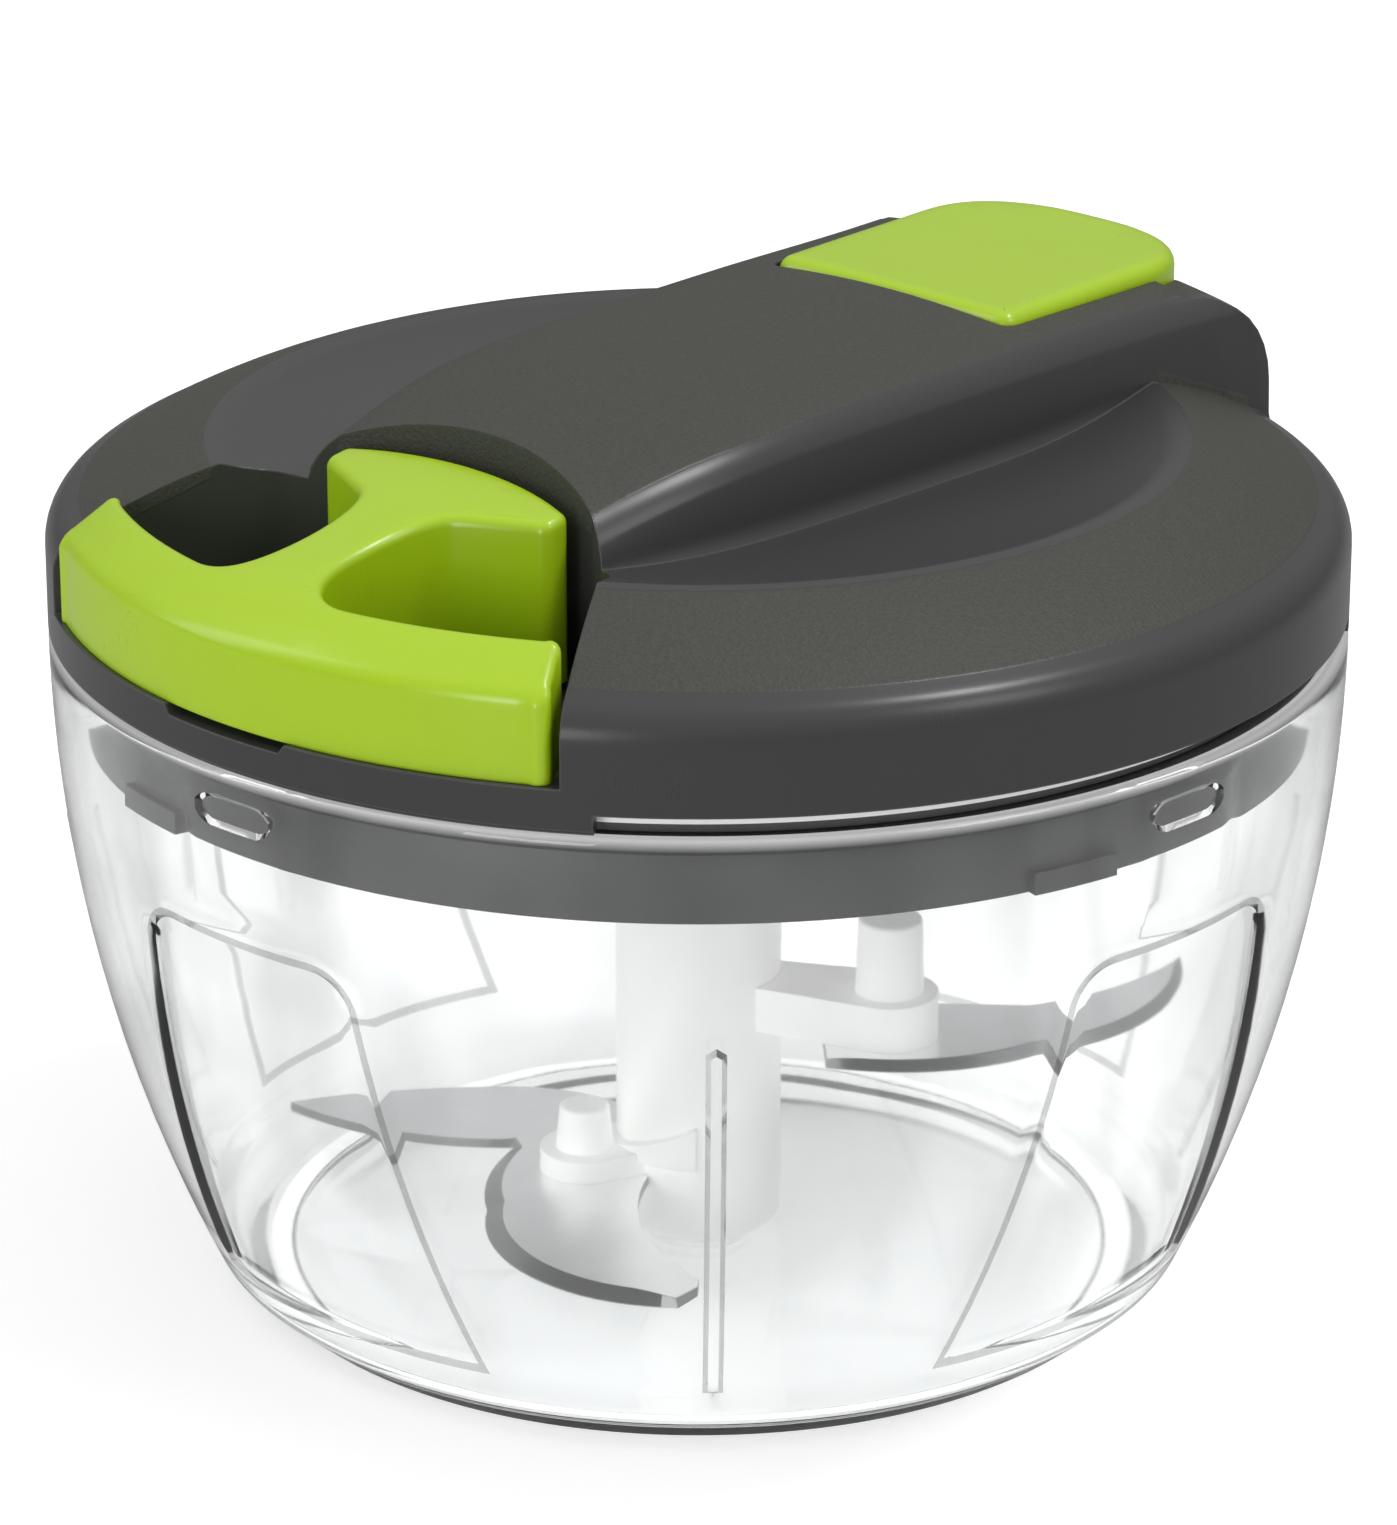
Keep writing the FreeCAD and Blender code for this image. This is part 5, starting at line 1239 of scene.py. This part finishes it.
class CHOPPER_OT_blades(bpy.types.Operator):
    """Model the hub with its arms, posts and web, and the two ground blades"""
    bl_idname = "chopper.blades"
    bl_label = "Hub and blades"

    def execute(self, context):
        s = mm_sizes()
        r, low, top, chamfer, plug, plug_top = s.hub_radius, 3.45, 61.0, 1.0, 6.4, 66.8
        outline = [(0, low), (r - chamfer, low), (r, low + chamfer), (r, top), (plug, top),
                   (plug, plug_top), (0, plug_top)]
        hub = spun("hub", eased(outline, 0.5, 3, False), steps=96)
        for arm in ARMS.values():
            fused(hub, arm_block(s, arm))
        fused(hub, hub_web(s))
        for angle in (60, 180, 300):
            fused(hub, ring_block("dog", plug - 1, 8.6, 6, angle, top - 1, plug_top, 6))
        cut(hub, rod("bore", 2.56, low - 1, 31, 0, 0, 48))
        turned(hub, s.blade_turn)
        finish_piece(hub, "hub_white", "blades", "hub_white", "white_plastic", "blade_hub",
                     angle=35)
        for key, values in BLADES.items():
            blade_plate(s, "blade_%s_steel" % key, ARMS[key], *values)
        return {"FINISHED"}


# String and springs

class CHOPPER_OT_string(bpy.types.Operator):
    """Model the string: its winding on the drum, the run to the eyelet, the lead and the knot"""
    bl_idname = "chopper.string"
    bl_label = "String"

    def execute(self, context):
        loop, bend_r, level, pitch, steps = 20.5, 26.0, STRING_LEVEL, 2.0, 36
        radius, turns = mm_sizes().string_radius, 3 + 1 / 3
        leave = degrees(asin(sqrt(1 - (loop / bend_r) ** 2)))
        winding = strand("winding", [
            polar(loop, leave + 360 * k / steps, level - pitch * k / steps)
            for k in range(int(turns * steps) + 1)], radius)
        finish_piece(winding, "string_coil", "drum", "braided_string", "string", "string_winding")

        x, y = spot(loop, leave)
        run = line([(x - 0.25, y - 0.2), (x * 0.12, -bend_r + 0.9),
                    ((x * 0.03, -bend_r - 0.2), (0, -bend_r - 1.2)), (0, -29.6)], 6)
        feed = strand("feed", [(x, y, level) for x, y in run], radius * 0.98)
        finish_piece(feed, "string_run", "lid", "braided_string", "string", "string_feed")

        lead = strand("lead", [(0, -29.8 - 5.4 * k / 60, level) for k in range(61)], radius)
        finish_piece(lead, "string_lead", None, "braided_string", "string", "pull_string")
        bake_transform(lead)

        at, size, loops = Vector((0, KNOT_Y, level)), 0.42, []
        for k in range(49):
            t = tau * k / 48
            loops.append(at + Vector((sin(t) + 2 * sin(2 * t), -sin(3 * t),
                                      cos(t) - 2 * cos(2 * t))) * size)
        finish_piece(strand("knot", loops, 0.8), "knot", "handle", "braided_string", "string",
                     "string_knot")
        return {"FINISHED"}


class CHOPPER_OT_springs(bpy.types.Operator):
    """Model the button's coil spring and the bolt's folded leaf"""
    bl_idname = "chopper.springs"
    bl_label = "Springs"

    def execute(self, context):
        coil_r, wire_r, turns, low, top, coil_y = 3.0, 0.45, 4, 82.15, 93.45, 52.237
        steps = 24 * turns
        coil = [polar(coil_r, 360 * turns * k / steps, low + (top - low) * k / steps)
                + Vector((0, coil_y, 0)) for k in range(steps + 1)]
        spring = strand("coil", coil, wire_r)
        finish_piece(spring, "press_coil", None, "turned_steel", "steel", "button_spring")
        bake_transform(spring)

        near, far, folds, half, leaf, z0, z1 = 29.2, 36.0, 4, 3.6, 0.4, 83.35, 85.15
        folded = [(half if k % 2 else -half, near + (far - near) * k / folds)
                  for k in range(folds + 1)]
        plan = [(x - leaf, y) for x, y in folded] + [(x + leaf, y) for x, y in reversed(folded)]
        spring = prism("leaf", plan, z0, z1)
        finish_piece(spring, "bolt_leaf", None, "turned_steel", "steel", "bolt_spring")
        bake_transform(spring)
        return {"FINISHED"}


class CHOPPER_OT_carried(bpy.types.Operator):
    """Give the inner CAD nodes their finishes"""
    bl_idname = "chopper.carried"
    bl_label = "Inner pieces"

    def execute(self, context):
        for material, names in CARRIED.items():
            for name in names:
                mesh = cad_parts[name].data
                mesh.materials.clear()
                mesh.materials.append(bpy.data.materials[material])
        return {"FINISHED"}


# Stage

def floor_material(colour):
    """Pale floor that glows where it is seen. Through the clear bowl it shows painted light and
    shade: a stronger glow near the middle, less farther out, and soft dark clouds; in reflections it
    is darker, a painted dark reflection.
    """
    tree, shader = new_material("floor_white", Roughness=0.75, Emission_Color=WHITE)
    tone = place_group(tree, "Tone drift", Color=colour4(colour), Amount=0.01, Scale=4.0)
    path, place = node(tree, "LightPath"), coords(tree)
    through = path["Is Transmission Ray"]
    # Painted dark reflection: the floor is darker where glossy rays see it, less so through glass.
    dim = maths(tree, "MULTIPLY_ADD", path["Is Glossy Ray"], -0.6, 1.0)
    dim = maths(tree, "MINIMUM", maths(tree, "MULTIPLY_ADD", through, 0.38, dim), 1.0)
    # Painted light and shade through the bowl: the glow is stronger near the middle and weaker
    # farther out, with soft dark clouds.
    away = node(tree, "VectorMath", {0: place}, operation="LENGTH")["Value"]
    cloud = ramp(tree, noise(tree, place, Scale=16.0, Detail=1.0, Distortion=1.2), 0.4, 0.6,
                 -0.16, 0.02)
    drift = maths(tree, "MULTIPLY_ADD", cloud, ramp(tree, away, 0.05, 0.09),
                  ramp(tree, away, 0.045, 0.22, 0.32, -0.2))
    seen = maths(tree, "MAXIMUM", path["Is Camera Ray"], through)
    glow = maths(tree, "MULTIPLY_ADD", seen, 0.36, maths(tree, "MULTIPLY", through, drift))
    fill(shader, {"Base Color": scaled(tree, tone["Color"], dim), "Emission Strength": glow})


def studio_world():
    """White background, brighter overhead, which the camera sees at full strength."""
    world = bpy.data.worlds.new("studio")
    world.use_nodes = True
    tree = world.node_tree
    path = node(tree, "LightPath")
    height = maths(tree, "MAXIMUM", axes(tree, node(tree, "TexCoord")["Generated"])["Z"], 0.0)
    seen = maths(tree, "MAXIMUM", path["Is Camera Ray"],
                 maths(tree, "MULTIPLY", path["Is Transmission Ray"], 0.6))
    strength = mix(tree, seen, maths(tree, "MULTIPLY_ADD", height, 0.7, 0.16), 1.0, "FLOAT")
    fill(tree.nodes["Background"], {"Color": WHITE, "Strength": strength})
    return world


class CHOPPER_OT_stage(bpy.types.Operator):
    """Set the floor, the background, the lamps and the camera"""
    bl_idname = "chopper.stage"
    bl_label = "Stage"

    def execute(self, context):
        scene = context.scene
        scene.view_settings.view_transform = "Standard"
        floor_material(scene.chopper_colours.floor)
        floor = added(bpy.ops.mesh.primitive_circle_add, vertices=96, radius=3.0,
                      fill_type="NGON", location=(0, 0, 0))
        floor.name = "floor"
        floor.data.materials.append(bpy.data.materials["floor_white"])
        scene.world = studio_world()

        for name, (place, size, energy) in LAMPS.items():
            bpy.ops.object.light_add(type="AREA", location=place)
            lamp = context.active_object
            lamp.name = name
            lamp.rotation_euler = (LAMP_AIM - Vector(place)).to_track_quat("-Z", "Y").to_euler()
            lamp.data.shape = "RECTANGLE"
            lamp.data.size, lamp.data.size_y = size
            lamp.data.energy = energy

        az, el = radians(CAMERA_AZIMUTH), radians(CAMERA_ELEVATION)
        back = Vector((sin(az) * cos(el), -cos(az) * cos(el), sin(el)))
        bpy.ops.object.camera_add(location=CAMERA_AIM + back * CAMERA_DISTANCE,
                                  rotation=(-back).to_track_quat("-Z", "Y").to_euler())
        scene.camera = context.active_object
        camera = scene.camera.data
        camera.lens = FOCAL_PIXELS * SENSOR_WIDTH / PHOTO_PIXELS
        camera.sensor_width = SENSOR_WIDTH
        camera.clip_start = 0.01
        return {"FINISHED"}


class CHOPPER_PT_panel(bpy.types.Panel):
    bl_idname = "CHOPPER_PT_panel"
    bl_label = "Pull-String Chopper"
    bl_space_type = "VIEW_3D"
    bl_region_type = "UI"
    bl_category = "Chopper"

    def draw(self, context):
        for operator in OPERATORS:
            self.layout.operator(operator.bl_idname)
        for group in (context.scene.chopper_sizes, context.scene.chopper_colours):
            box = self.layout.box()
            for key in own_keys(group):
                box.prop(group, key)


OPERATORS = (CHOPPER_OT_materials, CHOPPER_OT_stage, CHOPPER_OT_cover, CHOPPER_OT_handle,
             CHOPPER_OT_bowl, CHOPPER_OT_base, CHOPPER_OT_blades, CHOPPER_OT_string,
             CHOPPER_OT_springs, CHOPPER_OT_carried)
CLASSES = (ChopperSizes, ChopperColours) + OPERATORS + (CHOPPER_PT_panel,)


def register():
    for item in CLASSES:
        bpy.utils.register_class(item)
    bpy.types.Scene.chopper_sizes = bpy.props.PointerProperty(type=ChopperSizes)
    bpy.types.Scene.chopper_colours = bpy.props.PointerProperty(type=ChopperColours)


def unregister():
    del bpy.types.Scene.chopper_colours
    del bpy.types.Scene.chopper_sizes
    for item in reversed(CLASSES):
        bpy.utils.unregister_class(item)


def main():
    register()
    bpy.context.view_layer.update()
    bpy.ops.chopper.materials()
    bpy.ops.chopper.stage()
    bpy.ops.chopper.cover()
    bpy.ops.chopper.handle()
    bpy.ops.chopper.bowl()
    bpy.ops.chopper.base()
    bpy.ops.chopper.blades()
    bpy.ops.chopper.string()
    bpy.ops.chopper.springs()
    bpy.ops.chopper.carried()


if __name__ == "__main__":
    main()
